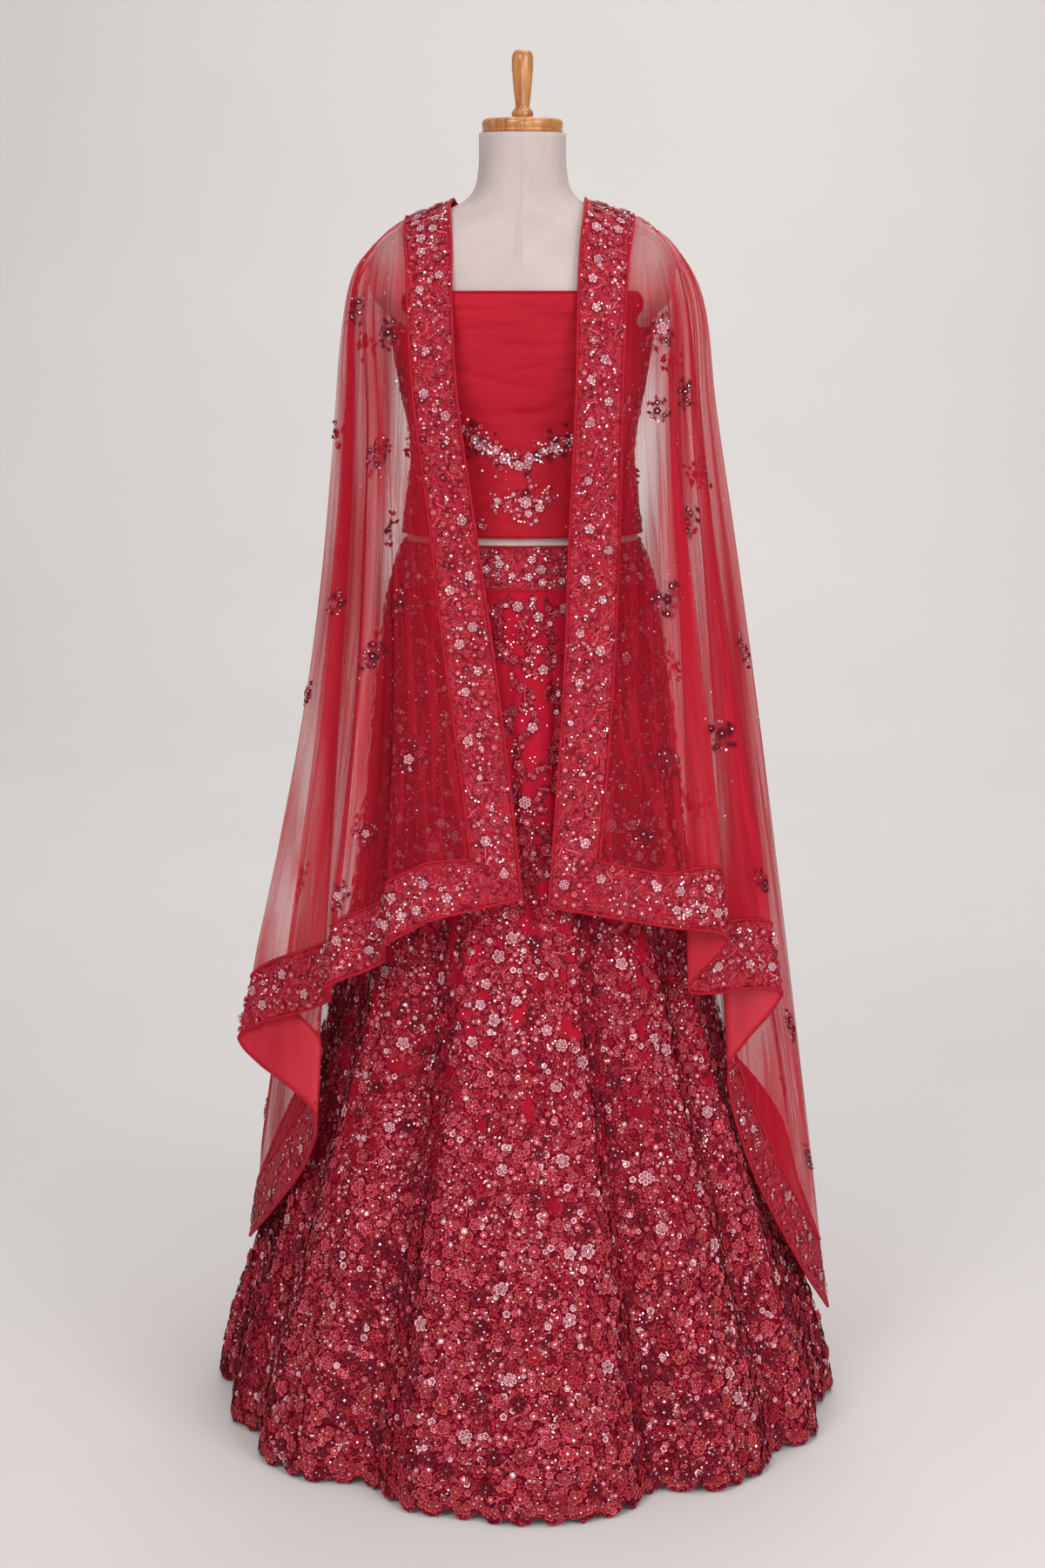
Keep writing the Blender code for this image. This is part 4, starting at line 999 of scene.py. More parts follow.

    # The tint's fourth value goes from a shape's sunk fill, 0, over its corded outline to its edge, 1,
    # which is painted with a dark rim of shadow
    thread = Look("raised_thread", (0.5, 0.05, 0.06), 0.65, Specular_IOR_Level=0.08)
    tint = thread.tint()
    hue, shade = tint["Color"], tint["Alpha"]
    strand = thread.noise(thread.at(space="Object"), 1100.0, 2.0)
    outline = thread.ramp(shade, [(0.0, 0.45), (0.22, 0), (0.42, 0.10), (0.54, 1), (0.78, 1), (0.90, 0)])
    # A dark rim round each shape, where it meets the cloth: painted shadow
    edge = thread.ramp(shade, [(0.80, 0), (0.90, 1)])
    fill = thread.mixed(edge, thread.times(hue, (0.46, 0.16, 0.22)), (0.12, 0.002, 0.009))
    cord = thread.mixed(outline, fill, hue)
    thread.colour(thread.mixed(thread.range(strand, 0.0, 0.30, 0.60, 0.90), cord, (0.10, 0.004, 0.012)))
    thread.bump(outline, 0.0008, 0.8)
    thread.bump(strand, 0.0004, 0.6)

    sequin = Look("sequins", (0.9, 0.75, 0.78), 0.30, Metallic=0.55, Specular_IOR_Level=0.6)
    glint = sequin.range(sequin.noise(sequin.at(space="Object"), 500.0, 1.0), 0.0, 0.35)
    sequin.colour(sequin.mixed(glint, sequin.tint()["Color"], (0.62, 0.42, 0.48)))

    # The tint's first value is how many layers a gather of the net lays over each other, from 0 to 1,
    # its second how far it lies over the body, where the net is darkened as painted shade, and its third
    # how thin it is spread
    net = Look("stole_net", (0.46, 0.008, 0.022), 0.7, Specular_IOR_Level=0.1)
    parts = net.tint_parts()
    gather, over, clear = parts["Red"], parts["Green"], parts["Blue"]
    holes = net.cells(net.at(), 850.0, "DISTANCE_TO_EDGE", 0.5)
    cover = net.mixed(gather, net.ramp(holes, [(0.05, 0.60), (0.30, 0.21)]), (0.92, 0.92, 0.92))
    for across, low in ((70.0, 0.55), (38.0, 0.44)):
        stops = [(low, 0), (low + 0.02, 1), (low + 0.04, 1), (low + 0.06, 0)]
        pleat = net.ramp(net.noise(net.at((across, 1.6, 1)), 1.0, 2.0), stops)
        cover = net.mixed(net.times(pleat, (0.55, 0.55, 0.55)), cover, (0.94, 0.94, 0.94))
    cover = net.mixed(clear, cover, net.times(cover, (0.14, 0.14, 0.14)))
    net.link(cover, net.shader.inputs["Alpha"])
    stops = [(0.0, (0.56, 0.014, 0.036)), (0.5, (0.48, 0.008, 0.026)), (1.0, (0.38, 0.004, 0.017))]
    hue = net.ramp(gather, stops)
    # Painted shade: the net is darker where it lies over the body
    net.colour(net.mixed(over, hue, net.times(hue, (0.66, 0.45, 0.55))))

    backdrop = Look("backdrop_paper", (0.74, 0.71, 0.69), 0.95)
    at = backdrop.at(space="Object")
    backdrop.tones(backdrop.noise(at, 0.9, 3.0), 0.3, (0.73, 0.70, 0.685), 0.7, (0.76, 0.73, 0.715))
    backdrop.bump(backdrop.noise(at, 40.0, 3.0), 0.0006, 0.1)

    looks = dict(
        form=form, wood=wood, iron=iron, steel=steel, satin=satin, ground=ground, field=field,
        piping=piping, reverse=reverse, lining=lining, thread=thread, sequin=sequin, net=net,
        backdrop=backdrop,
    )
    return {name: look.material for name, look in looks.items()}


LOOK = make_looks()


# Dress form and stand


def closed_rings(name, rows, material):
    """A surface through rings of points, run down, whose first and last ring close it."""
    rows = np.asarray(rows)
    down, across = rows.shape[:2]
    reach = np.concatenate([[0], np.cumsum(np.linalg.norm(np.diff(rows, axis=0), axis=-1).mean(1))])
    girths = np.linalg.norm(np.roll(rows, -1, 1) - rows, axis=-1).sum(1)
    uv = np.stack(np.meshgrid(np.arange(across) / across * girths.max(), -reach, indexing="ij"), -1)
    thing = mesh_from(name, rows.transpose(1, 0, 2), quads(across, down, closed=True), material, uv)
    return thing, girths, reach[-1]


def make_form():
    bearing = np.arange(FORM_COLUMNS) * 360 / FORM_COLUMNS
    facing = np.clip(np.cos(np.radians(bearing)), 0, 1) ** 0.5
    rows = []
    for z in np.linspace(FORM_SECTIONS[-1][0], FORM_SECTIONS[0][0], FORM_ROWS):
        # A slight swell, seen between blouse and waistband
        swell = 0.003 * facing * math.exp(-(((z - 1.107) / 0.022) ** 2))
        rows.append(form_points(bearing, np.full(FORM_COLUMNS, z), swell))
    top, bottom = rows[0], rows[-1]
    centre_top, centre_low = np.array([0, 0, top[0, 2]]), np.array([0, 0, bottom[0, 2]])
    rows = [centre_top + (top - centre_top) * s for s in (0.02, 0.5, 0.97)] + rows
    rows += [centre_low + (bottom - centre_low) * s for s in (0.97, 0.5, 0.02)]
    dressed(closed_rings("torso_cloth", rows, LOOK["form"])[0], "form_torso")
    for number, at in enumerate((180.0, 68.0, -68.0), 1):
        path = form_points(np.full(120, at), np.linspace(1.586, 0.81, 120), 0.0001)
        tube_object(f"torso_seam_{number}", path, 0.0007, LOOK["form"], 5)
    cap_at = FORM_SECTIONS[-1][0] + SEAM
    disc = [(0.0005, CAP_THICK)] + [(CAP_RADIUS * s, CAP_THICK) for s in (0.3, 0.6, 0.8)]
    for a in np.linspace(0, math.pi / 2, 8):
        inward, down = CAP_ROUND * (1 - math.sin(a)), CAP_ROUND * (1 - math.cos(a))
        disc.append((CAP_RADIUS - inward, CAP_THICK - down))
    disc += [(CAP_RADIUS - 0.0005, 0.0055), (CAP_RADIUS - 0.0014, 0.0046), (CAP_RADIUS - 0.0005, 0.0037)]
    disc += [(CAP_RADIUS, 0.0030), (CAP_RADIUS - 0.0008, 0.0002), (CAP_RADIUS * 0.5, 0.0001)]
    disc.append((0.0005, 0.0001))
    dressed(lathe("neck_cap_wood", disc, cap_at, LOOK["wood"]), "form_neck_cap")
    profile = round_curve([(r, 0.0, z) for r, z in HANDLE_PROFILE], 5)
    points = [(0.0003, HANDLE_PROFILE[0][1] + 0.0004), *((p[0], p[2]) for p in profile), (0.0005, 0.0001)]
    dressed(lathe("handle_wood", points, cap_at + CAP_THICK + SEAM, LOOK["wood"]), "form_handle")
    for name, look in (("stand_base", "iron"), ("stand_pole", "steel")):
        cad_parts[name].material_slots[0].material = LOOK[look]


def lathe(name, profile, at, material):
    turn = round_turns(72)
    rows = [[(r * math.sin(a), -r * math.cos(a), at + z) for a in turn] for r, z in profile]
    return closed_rings(name, rows, material)[0]


# Blouse cloth and waistband


def half_turn(first, across, down):
    """A grid of bearings over half a turn, and of shares from its top to its foot."""
    return np.meshgrid(np.linspace(first, first + 180, across), np.linspace(0, 1, down), indexing="ij")


def flat_size(long, wide):
    return round(float(long), 3), round(float(wide), 3)


def spaced(step, side, top, low):
    """A spacing for scattered: one step within limits, and nothing past them."""
    return lambda u, v: step if side < u < 1 - side and top < v < low else 0.0


def blouse_top(bearing):
    start, end = BLOUSE_CORNER
    share = np.clip((np.abs(turned(bearing)) - start) / (end - start), 0, 1)
    return BLOUSE_TOP + (BLOUSE_SIDE_TOP - BLOUSE_TOP) * (3 * share**2 - 2 * share**3)


# Soft creases of the blouse cloth: (bearing, height, half width in degrees, half height, depth, slope)
BLOUSE_CREASES = [
    (-14, 1.386, 26, 0.004, 0.0016, 0.0001), (12, 1.377, 22, 0.0045, 0.0015, -0.00012),
    (-6, 1.365, 30, 0.005, 0.0018, 0.00022), (20, 1.356, 17, 0.004, 0.0013, -0.0003),
    (-22, 1.35, 14, 0.0045, 0.0014, 0.00034), (4, 1.343, 24, 0.005, 0.0013, 0.00005),
    (-28, 1.312, 12, 0.006, 0.0012, 0.0006), (27, 1.306, 13, 0.006, 0.0012, -0.00055),
    (0, 1.262, 20, 0.007, 0.0012, 0.00005), (-40, 1.226, 16, 0.008, 0.0016, 0.0008),
    (38, 1.22, 17, 0.008, 0.0015, -0.0007), (-17, 1.15, 15, 0.009, 0.0014, 0.0009),
    (22, 1.146, 16, 0.009, 0.0014, -0.0008), (10, 1.268, 15, 0.0062, 0.001, 0.0011),
    (20, 1.284, 12, 0.0062, 0.001, 0.0015), (-8, 1.3, 14, 0.0056, 0.0009, -0.0008),
    (14, 1.322, 14, 0.005, 0.0009, 0.0006), (-18, 1.33, 13, 0.0058, 0.0009, 0.0009),
    (-12, 1.182, 12, 0.0045, 0.0012, 0.0012), (14, 1.176, 12, 0.0045, 0.0012, -0.001),
    (178, 1.38, 26, 0.005, 0.0016, 0.00012), (166, 1.362, 22, 0.0045, 0.0014, -0.0002),
    (-170, 1.35, 20, 0.005, 0.0014, 0.0002), (150, 1.3, 16, 0.007, 0.0013, 0.0006),
    (-148, 1.29, 15, 0.007, 0.0013, -0.0006), (172, 1.23, 22, 0.008, 0.0015, 0.0003),
    (-160, 1.17, 18, 0.009, 0.0014, -0.0006), (140, 1.16, 18, 0.009, 0.0014, 0.0005),
]


def blouse_grid(first):
    bearing, share = half_turn(first, 96, 88)
    top = blouse_top(bearing)
    height = top + (BLOUSE_HEM + 0.0012 - top) * share
    flat = np.abs(np.sin(np.radians(bearing)))
    slack = blouse_front(height) * (1 - flat) + blouse_side(height) * flat
    slack = slack - 0.0070 * np.clip((1.160 - height) / 0.047, 0, 1) ** 2
    crease = 0.0
    for centre, level, half, tall, depth, slope in BLOUSE_CREASES:
        off = turned(bearing - centre)
        line = level + slope * off + 0.0012 * np.sin(off * 0.12 + centre)
        near = np.exp(-((off / half) ** 2) - ((height - line) / tall / 0.62) ** 2)
        crease = crease + 2.1 * depth * near
    soft = 0.0006 * np.sin(bearing * 0.21 + height * 34) * np.sin(height * 61 + bearing * 0.05)
    out = slack + BLOUSE_WALL + 0.0004 + np.clip(0.0014 + soft - crease, -0.0014, 0.0024)
    return form_points(bearing, height, out)


def make_blouse():
    made = []
    for name, first in (("blouse_front", -90.0), ("blouse_back", 90.0)):
        cloth = Cloth(blouse_grid(first))
        thing = slab_object(f"{name}_cloth", cloth, 0.0006, LOOK["satin"], LOOK["reverse"], -0.0006)
        dressed(thing, name)
        for end, row in (("top", 0), ("hem", -1)):
            path = cloth.moved(0.0002).points[:, row]
            tube_object(f"{name}_{end}_rolled", path, 0.0011, LOOK["satin"], 7)
        made.append((name, cloth, first))
    return made


# Flower colours and how often each is used
BLOUSE_TONES = ((ROSE, CORAL, WINE), (4, 3, 2))
BORDER_TONES = ((ROSE, CORAL), (5, 3))
SKIRT_TONES = ((ROSE, CORAL, RED), (2.0, 5, 1.2))
HEM_TONES = ((ROSE, BRICK, CORAL, WINE, RED), (0.7, 3.4, 4, 1.2, 1.8))
# Darker flowers for the skirt's valleys and creases: painted shade
FOLD_SHADE_TONES = ((WINE, RED, BRICK), (3, 3, 1.2))


def blouse_shares(first, bearing, height):
    """Shares on a blouse grid of a bearing and height."""
    top = float(blouse_top(np.array(bearing)))
    return (bearing - first) / 180, (top - height) / (top - BLOUSE_HEM)


def embroider_blouse(parts):
    for name, cloth, first in parts:
        work = Stitches()
        middle = first + 90
        # A garland that hangs in a shallow curve across the front, over the midriff
        for k in range(50):
            off = -52 + 104 * (k + 0.5) / 50
            rise = 0.034 * (abs(off) / 26) ** 2.0 if abs(off) < 26 else 0.034 + 0.0011 * (abs(off) - 26)
            height = 1.209 + rise + rng.normal(0, 0.0034)
            u, v = blouse_shares(first, middle + off + rng.normal(0, 0.6), height)
            size = rng.uniform(0.0095, 0.0145)
            tone = choose((ROSE, CORAL, WINE), (4, 4, 1))
            work.add(choose(("flower", "rose"), (2, 1)), u, v, rng.uniform(0, 6), size, tone)
            work.add("sequin", u, v, 0, size * 0.30, SILVER)
            for _ in range(8):
                away = rng.normal(0, 0.008), rng.normal(0, 0.0085)
                a, b = cloth.shifted(np.array([u]), np.array([v]), *away)
                kind = choose(("leaf", "bud", "sequin", "bead"), (4, 2, 5, 2))
                scale = {"leaf": 0.0068, "bud": 0.007, "sequin": 0.0030, "bead": 0.0024}[kind]
                tone = choose((WINE, CORAL), (2, 1)) if kind in ("leaf", "bud") else SILVER
                turn, small = rng.uniform(0, 6), scale * rng.uniform(0.8, 1.2)
                work.add(kind, float(a[0]), float(b[0]), turn, small, tone)
        # A spray below it, and loose ones along the hem and the sides: (bearing, height, size)
        spots = [(1.0, 1.156, 0.015), (-5.5, 1.151, 0.012), (6.5, 1.150, 0.012), (1.0, 1.168, 0.011)]
        spots += [(-10, 1.158, 0.009), (11, 1.158, 0.009), (2, 1.143, 0.010)]
        spots += [(-24, 1.129, 0.012), (-36, 1.136, 0.012), (27, 1.130, 0.012), (39, 1.137, 0.012)]
        spots += [(s * 74, z, 0.010) for s in (-1, 1) for z in np.arange(1.13, 1.36, 0.022)]
        spots += [(s * 66, z, 0.009) for s in (-1, 1) for z in np.arange(1.14, 1.35, 0.034)]
        for off, height, size in spots:
            u, v = blouse_shares(first, middle + off, height)
            if 0.01 < v < 0.985:
                sprig(work, cloth, u, v, size * 1.05, BLOUSE_TONES, 3, 5, (CORAL, WINE, RED))
        work.sew(name, cloth, "embroidery", 0.0004, 0.0012)


def band_grid(first):
    bearing, share = half_turn(first, 140, 16)
    height = BAND_TOP + (BAND_LOW - BAND_TOP) * share
    ripple = 0.0006 * np.sin(bearing * 0.33) * np.sin(share * 3.1)
    return form_points(bearing, height, band_out(height) + 0.0012 + ripple)


def make_waistband():
    for name, first in (("waistband_front", -90.0), ("waistband_back", 90.0)):
        cloth = Cloth(band_grid(first))
        thing = slab_object(f"{name}_cloth", cloth, 0.0011, LOOK["field"], LOOK["lining"], -0.0006)
        dressed(thing, name)
        work = Stitches()
        us, vs = scattered(cloth, spaced(0.015, 0.005, 0.16, 0.84), 160)
        for u, v in zip(us, vs):
            sprig(work, cloth, u, v, rng.uniform(0.0095, 0.0125), BORDER_TONES, 2, 3)
        work.sew(name, cloth, "embroidery", 0.0007, 0.0012)
        for end, row in (("top", 0), ("low", -1)):
            path = cloth.moved(0.0004).points[:, row]
            tube_object(f"{name}_{end}_piping", path, 0.0017, LOOK["piping"], 8)


# Skirt

# Soft creases: (bearing, top height, bottom height, half width in degrees, depth, drift in degrees)
SKIRT_CREASES = [
    (-4, 1.03, 0.52, 1.6, 0.0035, 3), (5, 0.86, 0.1, 2.2, 0.006, -2),
    (-8, 0.6, 0.0, 1.8, 0.0055, 2), (11, 1.04, 0.66, 1.4, 0.003, 2), (19, 0.8, 0.2, 2.0, 0.005, 3),
    (-19, 0.92, 0.3, 2.1, 0.0048, -3), (-24, 0.5, 0.0, 1.6, 0.005, 1),
    (33, 1.0, 0.36, 1.9, 0.0046, 4), (37, 0.44, 0.0, 1.7, 0.0055, -2),
    (-38, 1.03, 0.44, 1.8, 0.0045, -2), (48, 0.74, 0.02, 2.2, 0.006, 2),
    (-54, 0.78, 0.1, 2.0, 0.0052, -4), (64, 1.0, 0.48, 1.9, 0.0042, 3),
    (-70, 1.0, 0.3, 2.2, 0.005, 2), (84, 0.7, 0.0, 2.3, 0.006, -3), (-90, 0.6, 0.0, 2.1, 0.0055, 3),
    (104, 1.02, 0.4, 2.0, 0.0045, 2), (-108, 0.9, 0.2, 2.0, 0.005, -2),
    (112, 0.5, 0.0, 1.8, 0.006, 2), (127, 0.95, 0.34, 2.1, 0.0048, -3),
    (-127, 0.66, 0.02, 2.2, 0.0058, 3), (143, 0.72, 0.05, 2.0, 0.0055, 2),
    (-144, 1.0, 0.5, 1.8, 0.004, 2), (160, 1.02, 0.3, 2.2, 0.005, -2),
    (-161, 0.58, 0.0, 2.0, 0.006, -2), (177, 0.84, 0.12, 2.1, 0.0055, 3),
    (-179, 0.4, 0.0, 1.7, 0.005, -2),
]


def skirt_creases(bearing, height):
    total = 0.0
    for centre, top, low, half, depth, drift in SKIRT_CREASES:
        share = (top - height) / (top - low)
        inside = np.clip(share, 0, 1)
        swell = np.sin(np.pi * inside) ** 0.7 if low > 0.05 else np.sin(0.5 * np.pi * inside) ** 0.8
        swell = np.where((share < 0) | (share > 1), 0, swell)
        middle = centre + drift * share + 0.8 * np.sin(height * 9 + centre)
        total = total + depth * swell * np.exp(-((turned(bearing - middle) / half) ** 2))
    return total


def sunk_shade_share(bearing, height, crease):
    """How far a place lies in the skirt's valleys and creases, where painted shade goes. crease is a
    crease's full depth.
    """
    valley = valley_depth(bearing) * flute_share(height) / 0.05
    return valley + skirt_creases(bearing, height) / crease


def gore_grid(number):
    share, fall = np.meshgrid(np.linspace(0, 1, 73), np.linspace(0, 1, 156), indexing="ij")
    bearing = -180.0 / GORES + 360.0 * number / GORES + 360.0 / GORES * share
    uneven = 1 + 0.35 * np.sin(bearing * 0.83) + 0.25 * np.sin(bearing * 2.1 + 1)
    arch = 1 - np.abs(np.sin(np.pi * SCALLOPS_PER_GORE * share))
    edge = SCALLOP_DEPTH * np.clip(uneven, 0.3, 1.5) * arch
    edge = edge + 0.0016 * (1 + np.sin(bearing * 3.7)) * np.abs(np.sin(bearing * 1.3))
    height = SKIRT_TOP + (edge - SKIRT_TOP) * fall
    inward = -GORE_WALL - 0.0012 + np.clip(skirt_creases(bearing, height), 0, 0.009)
    return skirt_points(bearing, height, inward), bearing, height


def gore_stitches(number, cloth):
    def spacing(u, v):
        return 0.0272 - 0.0078 * v if 0.02 < u < 0.98 and 0.012 < v < 0.982 else 0.0

    work = Stitches()
    us, vs = scattered(cloth, spacing, 130)
    bearing = -180.0 / GORES + 360.0 * (number + us) / GORES
    for u, v, fold_shade in zip(us, vs, sunk_shade_share(bearing, SKIRT_TOP * (1 - vs), 0.006)):
        low = min(1.0, max(0.0, (v - 0.5) / 0.35))
        size = rng.uniform(0.0120, 0.0165) * (0.95 + 0.42 * v)
        tones = HEM_TONES if rng.random() < low else SKIRT_TONES
        soft = (CORAL, WINE, RED) if low > 0.5 else (CORAL, RED, WINE)
        # Flowers in the valleys and creases take darker thread: painted shade
        if fold_shade > 0.5:
            tones, soft = FOLD_SHADE_TONES, (WINE, RED, BRICK)
        sprig(work, cloth, u, v, size, tones, 3 if v > 0.25 else 2, 6, soft)
    # Loose sequins, and the hem's row of flowers and leaves
    for _ in range(int(cloth.areas.sum() * 2400)):
        u, v = 0.5 + (rng.random() - 0.5) * 0.985, rng.random() ** 0.62 * 0.985
        turn, size = rng.uniform(0, 6), rng.uniform(0.0016, 0.0026)
        work.add("sequin", u, v, turn, size, choose((SILVER, GARNET), (2, 1)))
    lobes = SCALLOPS_PER_GORE * 4
    for k in range(lobes):
        share = (k + 0.5) / lobes
        size = 0.0125 + 0.003 * abs(math.sin(math.pi * SCALLOPS_PER_GORE * share))
        turn = rng.uniform(0, 6)
        work.add("flower", share, 0.9885, turn, size, choose((BRICK, CORAL, WINE), (3, 2, 2)))
        for side in (-0.3, 0.3):
            turn = math.pi / 2 + rng.normal(0, 0.4)
            work.add("leaf", share + side / lobes, 0.9945, turn, 0.0095, choose((WINE, CORAL), (3, 2)))
        work.add("sequin", share, 0.9885, 0, 0.0026, SILVER)
    return work


def make_skirt():
    """The skirt's gores, each with its embroidery."""
    for number in range(GORES):
        name = f"skirt_gore_{number + 1}"
        grid, bearing, height = gore_grid(number)
        cloth = Cloth(grid)
        fall = np.linspace(0, 1, cloth.points.shape[1])[None]
        # Painted shade in the valleys and creases, and darker towards the hem
        shade_and_hem_dark = 0.16 + 0.42 * np.clip(sunk_shade_share(bearing, height, 0.008), 0, 1.2)
        shade_and_hem_dark = np.clip(shade_and_hem_dark + 0.80 * np.clip((fall - 0.50) / 0.42, 0, 1), 0, 1)
        work = gore_stitches(number, cloth)
        tint = np.repeat(shade_and_hem_dark[..., None], 4, -1)
        tint[..., 1] = sewn_shade_share(cloth, work).reshape(shade_and_hem_dark.shape)
        thing = sheet_object(f"{name}_cloth", cloth, LOOK["ground"], tint)
        dressed(thing, name)
        work.sew(name, cloth, "embroidery", 0.0006, 0.0010, 0.32)


def make_lining():
    bearing = np.arange(LINING_COLUMNS) * 360 / LINING_COLUMNS
    rows = []
    for height in np.linspace(LINING_GAPS[0][0], LINING_GAPS[-1][0], LINING_ROWS):
        inward = lining_gap(height) - 0.6 * valley_depth(bearing) * flute_share(height)
        inward = inward + 0.0016 + 0.0012 * np.sin(np.radians(bearing * 23)) * (1.05 - height)
        rows.append(skirt_points(bearing, np.full(LINING_COLUMNS, height), inward))
    thing, girths, reach = closed_rings("skirt_lining_cloth", rows, LOOK["lining"])
    dressed(thing, "skirt_lining")
    flat_size(girths.max(), reach)


# Stole

# Gathers of the net that show as dense lines: (column, where it starts and stops down the net, half
# width in columns, how dense)
NET_FOLDS = [
    (2.0, 0.0, 0.5, 0.3, 0.7), (3.6, 0.0, 1.0, 0.45, 0.55), (5.2, 0.1, 1.0, 0.35, 0.6),
    (7.5, 0.0, 0.8, 0.4, 0.75), (9.0, 0.2, 1.0, 0.3, 0.55), (11.4, 0.0, 1.0, 0.45, 0.7),
    (13.0, 0.05, 0.6, 0.3, 0.6), (15.2, 0.0, 1.0, 0.5, 0.65), (17.5, 0.1, 0.9, 0.35, 0.55),
    (19.8, 0.0, 1.0, 0.4, 0.7), (22.0, 0.0, 0.7, 0.4, 0.55), (24.6, 0.1, 1.0, 0.45, 0.6),
    (27.5, 0.0, 1.0, 0.35, 0.6), (30.2, 0.0, 0.8, 0.4, 0.55), (33.0, 0.1, 1.0, 0.4, 0.6),
    (36.4, 0.0, 1.0, 0.35, 0.55), (39.5, 0.0, 0.9, 0.4, 0.6), (42.3, 0.1, 1.0, 0.35, 0.55),
    (45.0, 0.0, 1.0, 0.45, 0.6), (48.2, 0.0, 0.8, 0.35, 0.55), (51.0, 0.05, 1.0, 0.4, 0.65),
    (53.4, 0.0, 1.0, 0.35, 0.55), (56.0, 0.0, 0.9, 0.45, 0.7), (58.1, 0.15, 1.0, 0.3, 0.55),
    (60.4, 0.0, 1.0, 0.45, 0.7), (62.5, 0.0, 0.8, 0.35, 0.6), (64.6, 0.0, 1.0, 0.4, 0.75),
    (66.4, 0.1, 1.0, 0.3, 0.55), (68.5, 0.0, 1.0, 0.45, 0.7), (70.6, 0.0, 0.85, 0.35, 0.65),
    (72.5, 0.05, 1.0, 0.4, 0.6), (74.4, 0.0, 0.9, 0.3, 0.65), (76.0, 0.0, 0.6, 0.3, 0.6),
]


# Where the net is gathered, above 0, or spread thin, below 0: (x, height, half width, half height,
# how much)
NET_LAYS = [
    (0.155, 1.234, 0.018, 0.115, -0.72), (0.142, 1.15, 0.011, 0.08, -0.6),
    (-0.143, 1.244, 0.011, 0.11, -0.75), (-0.232, 1.25, 0.018, 0.2, -0.5),
    (-0.176, 1.24, 0.013, 0.15, 0.3), (-0.168, 1.08, 0.013, 0.085, -0.7),
    (-0.265, 0.835, 0.018, 0.15, -0.45), (-0.298, 0.662, 0.028, 0.08, -0.45),
    (-0.165, 1.462, 0.034, 0.035, -0.45), (0.157, 1.455, 0.034, 0.045, -0.5),
    (-0.197, 1.08, 0.013, 0.11, 0.5), (0.242, 0.77, 0.018, 0.11, -0.4),
    (0.21, 1.08, 0.01, 0.15, -0.35), (0.3, 0.56, 0.02, 0.09, -0.4),
    (-0.215, 1.106, 0.014, 0.2, 0.45), (-0.178, 0.925, 0.018, 0.14, 0.4),
    (0.196, 1.17, 0.012, 0.2, 0.38), (0.262, 0.925, 0.015, 0.18, 0.35),
    (0.241, 0.636, 0.04, 0.06, 0.45), (-0.235, 0.8, 0.01, 0.16, 0.35),
    (-0.185, 1.32, 0.009, 0.12, 0.4), (0.188, 1.33, 0.009, 0.11, 0.35),
    (0.225, 0.9, 0.008, 0.2, 0.3), (0.285, 0.7, 0.01, 0.14, 0.35),
]


def net_tint(cloth, dense):
    """The net's tint: its gathers, how far it lies over the body (where it is darkened as painted shade),
    and how thin it is spread.
    """
    x, z = cloth.points[..., 0], cloth.points[..., 2]
    change = sum(
        much * np.exp(-(((x - at) / wide) ** 2) - ((z - level) / tall) ** 2)
        for at, level, wide, tall, much in NET_LAYS
    )
    thin = np.clip(-change, 0, 1)
    levels = np.linspace(0.3, 1.45, 60)
    side = np.full(60, 90.0)
    widths = np.where(
        levels < 1.05,
        skirt_points(side, np.minimum(levels, 1.05))[:, 0],
        form_points(side, np.clip(levels, 0.9, 1.5), 0.008)[:, 0],
    )
    # How far the net lies over the body, where it takes painted shade
    over = np.clip((np.interp(z, levels, widths) - np.abs(x)) / 0.03 + 0.5, 0, 1) * (z < 1.40)
    gather = np.clip((dense + np.clip(change, 0, 1)) * (1 - 0.85 * thin), 0, 0.97)
    return np.stack([gather, over, thin, np.ones_like(thin)], -1)


def gathers(grid, first, exact):
    """Narrow soft pleats that run with the columns of the net, out from its own surface, and how
    dense the net lies in each."""
    cloth = Cloth(grid)
    across, down = grid.shape[:2]
    column = first + np.linspace(0, exact, across)[:, None]
    fall = np.linspace(0, 1, down)[None]
    room = cloth.across / exact  # metres from one coarse column to the next
    drift = 0.35 * np.sin(column * 0.7 + fall * 2.3)
    one = (column + drift) * 2 * math.pi / 1.55
    two = (column - drift) * 2 * math.pi / 0.83 + 1.3 * fall
    three = (column + 2 * drift) * 2 * math.pi / 3.7 + 0.8
    wave = np.sin(one) * 0.6 + np.sin(two) * 0.25 + np.sin(three) * 0.45
    steep = np.abs(np.cos(one) * 0.6 + np.cos(two) * 0.35)
    dense = 0.22 * np.clip(steep - 0.35, 0, 1) * (1.15 - 0.6 * fall)
    for centre, top, low, half, strength in NET_FOLDS:
        off = column - centre - 0.5 * np.sin(fall * 2.6 + centre)
        share = (fall - top) / (low - top)
        fade = np.clip(np.minimum(share / 0.12 + (top == 0), (1 - share) / 0.2 + (low == 1)), 0, 1)
        dense = dense + strength * fade * np.exp(-((off / (half * (0.8 + 0.5 * fall))) ** 2))
    tall = np.clip(room * 1.55 * 0.20, 0.0002, 0.0042)
    edge = np.clip(np.minimum(fall / 0.03, (1 - fall) / 0.04), 0, 1)
    sides = np.clip(np.minimum(column - first, first + exact - column) / 1.2, 0, 1)
    out = NET_WALL * 0.6 + tall * (0.75 + wave * 0.75) * edge * (0.3 + 0.7 * sides)
    return cloth.moved(np.clip(out, 0.0004, 0.009)), np.clip(dense, 0, 0.95)


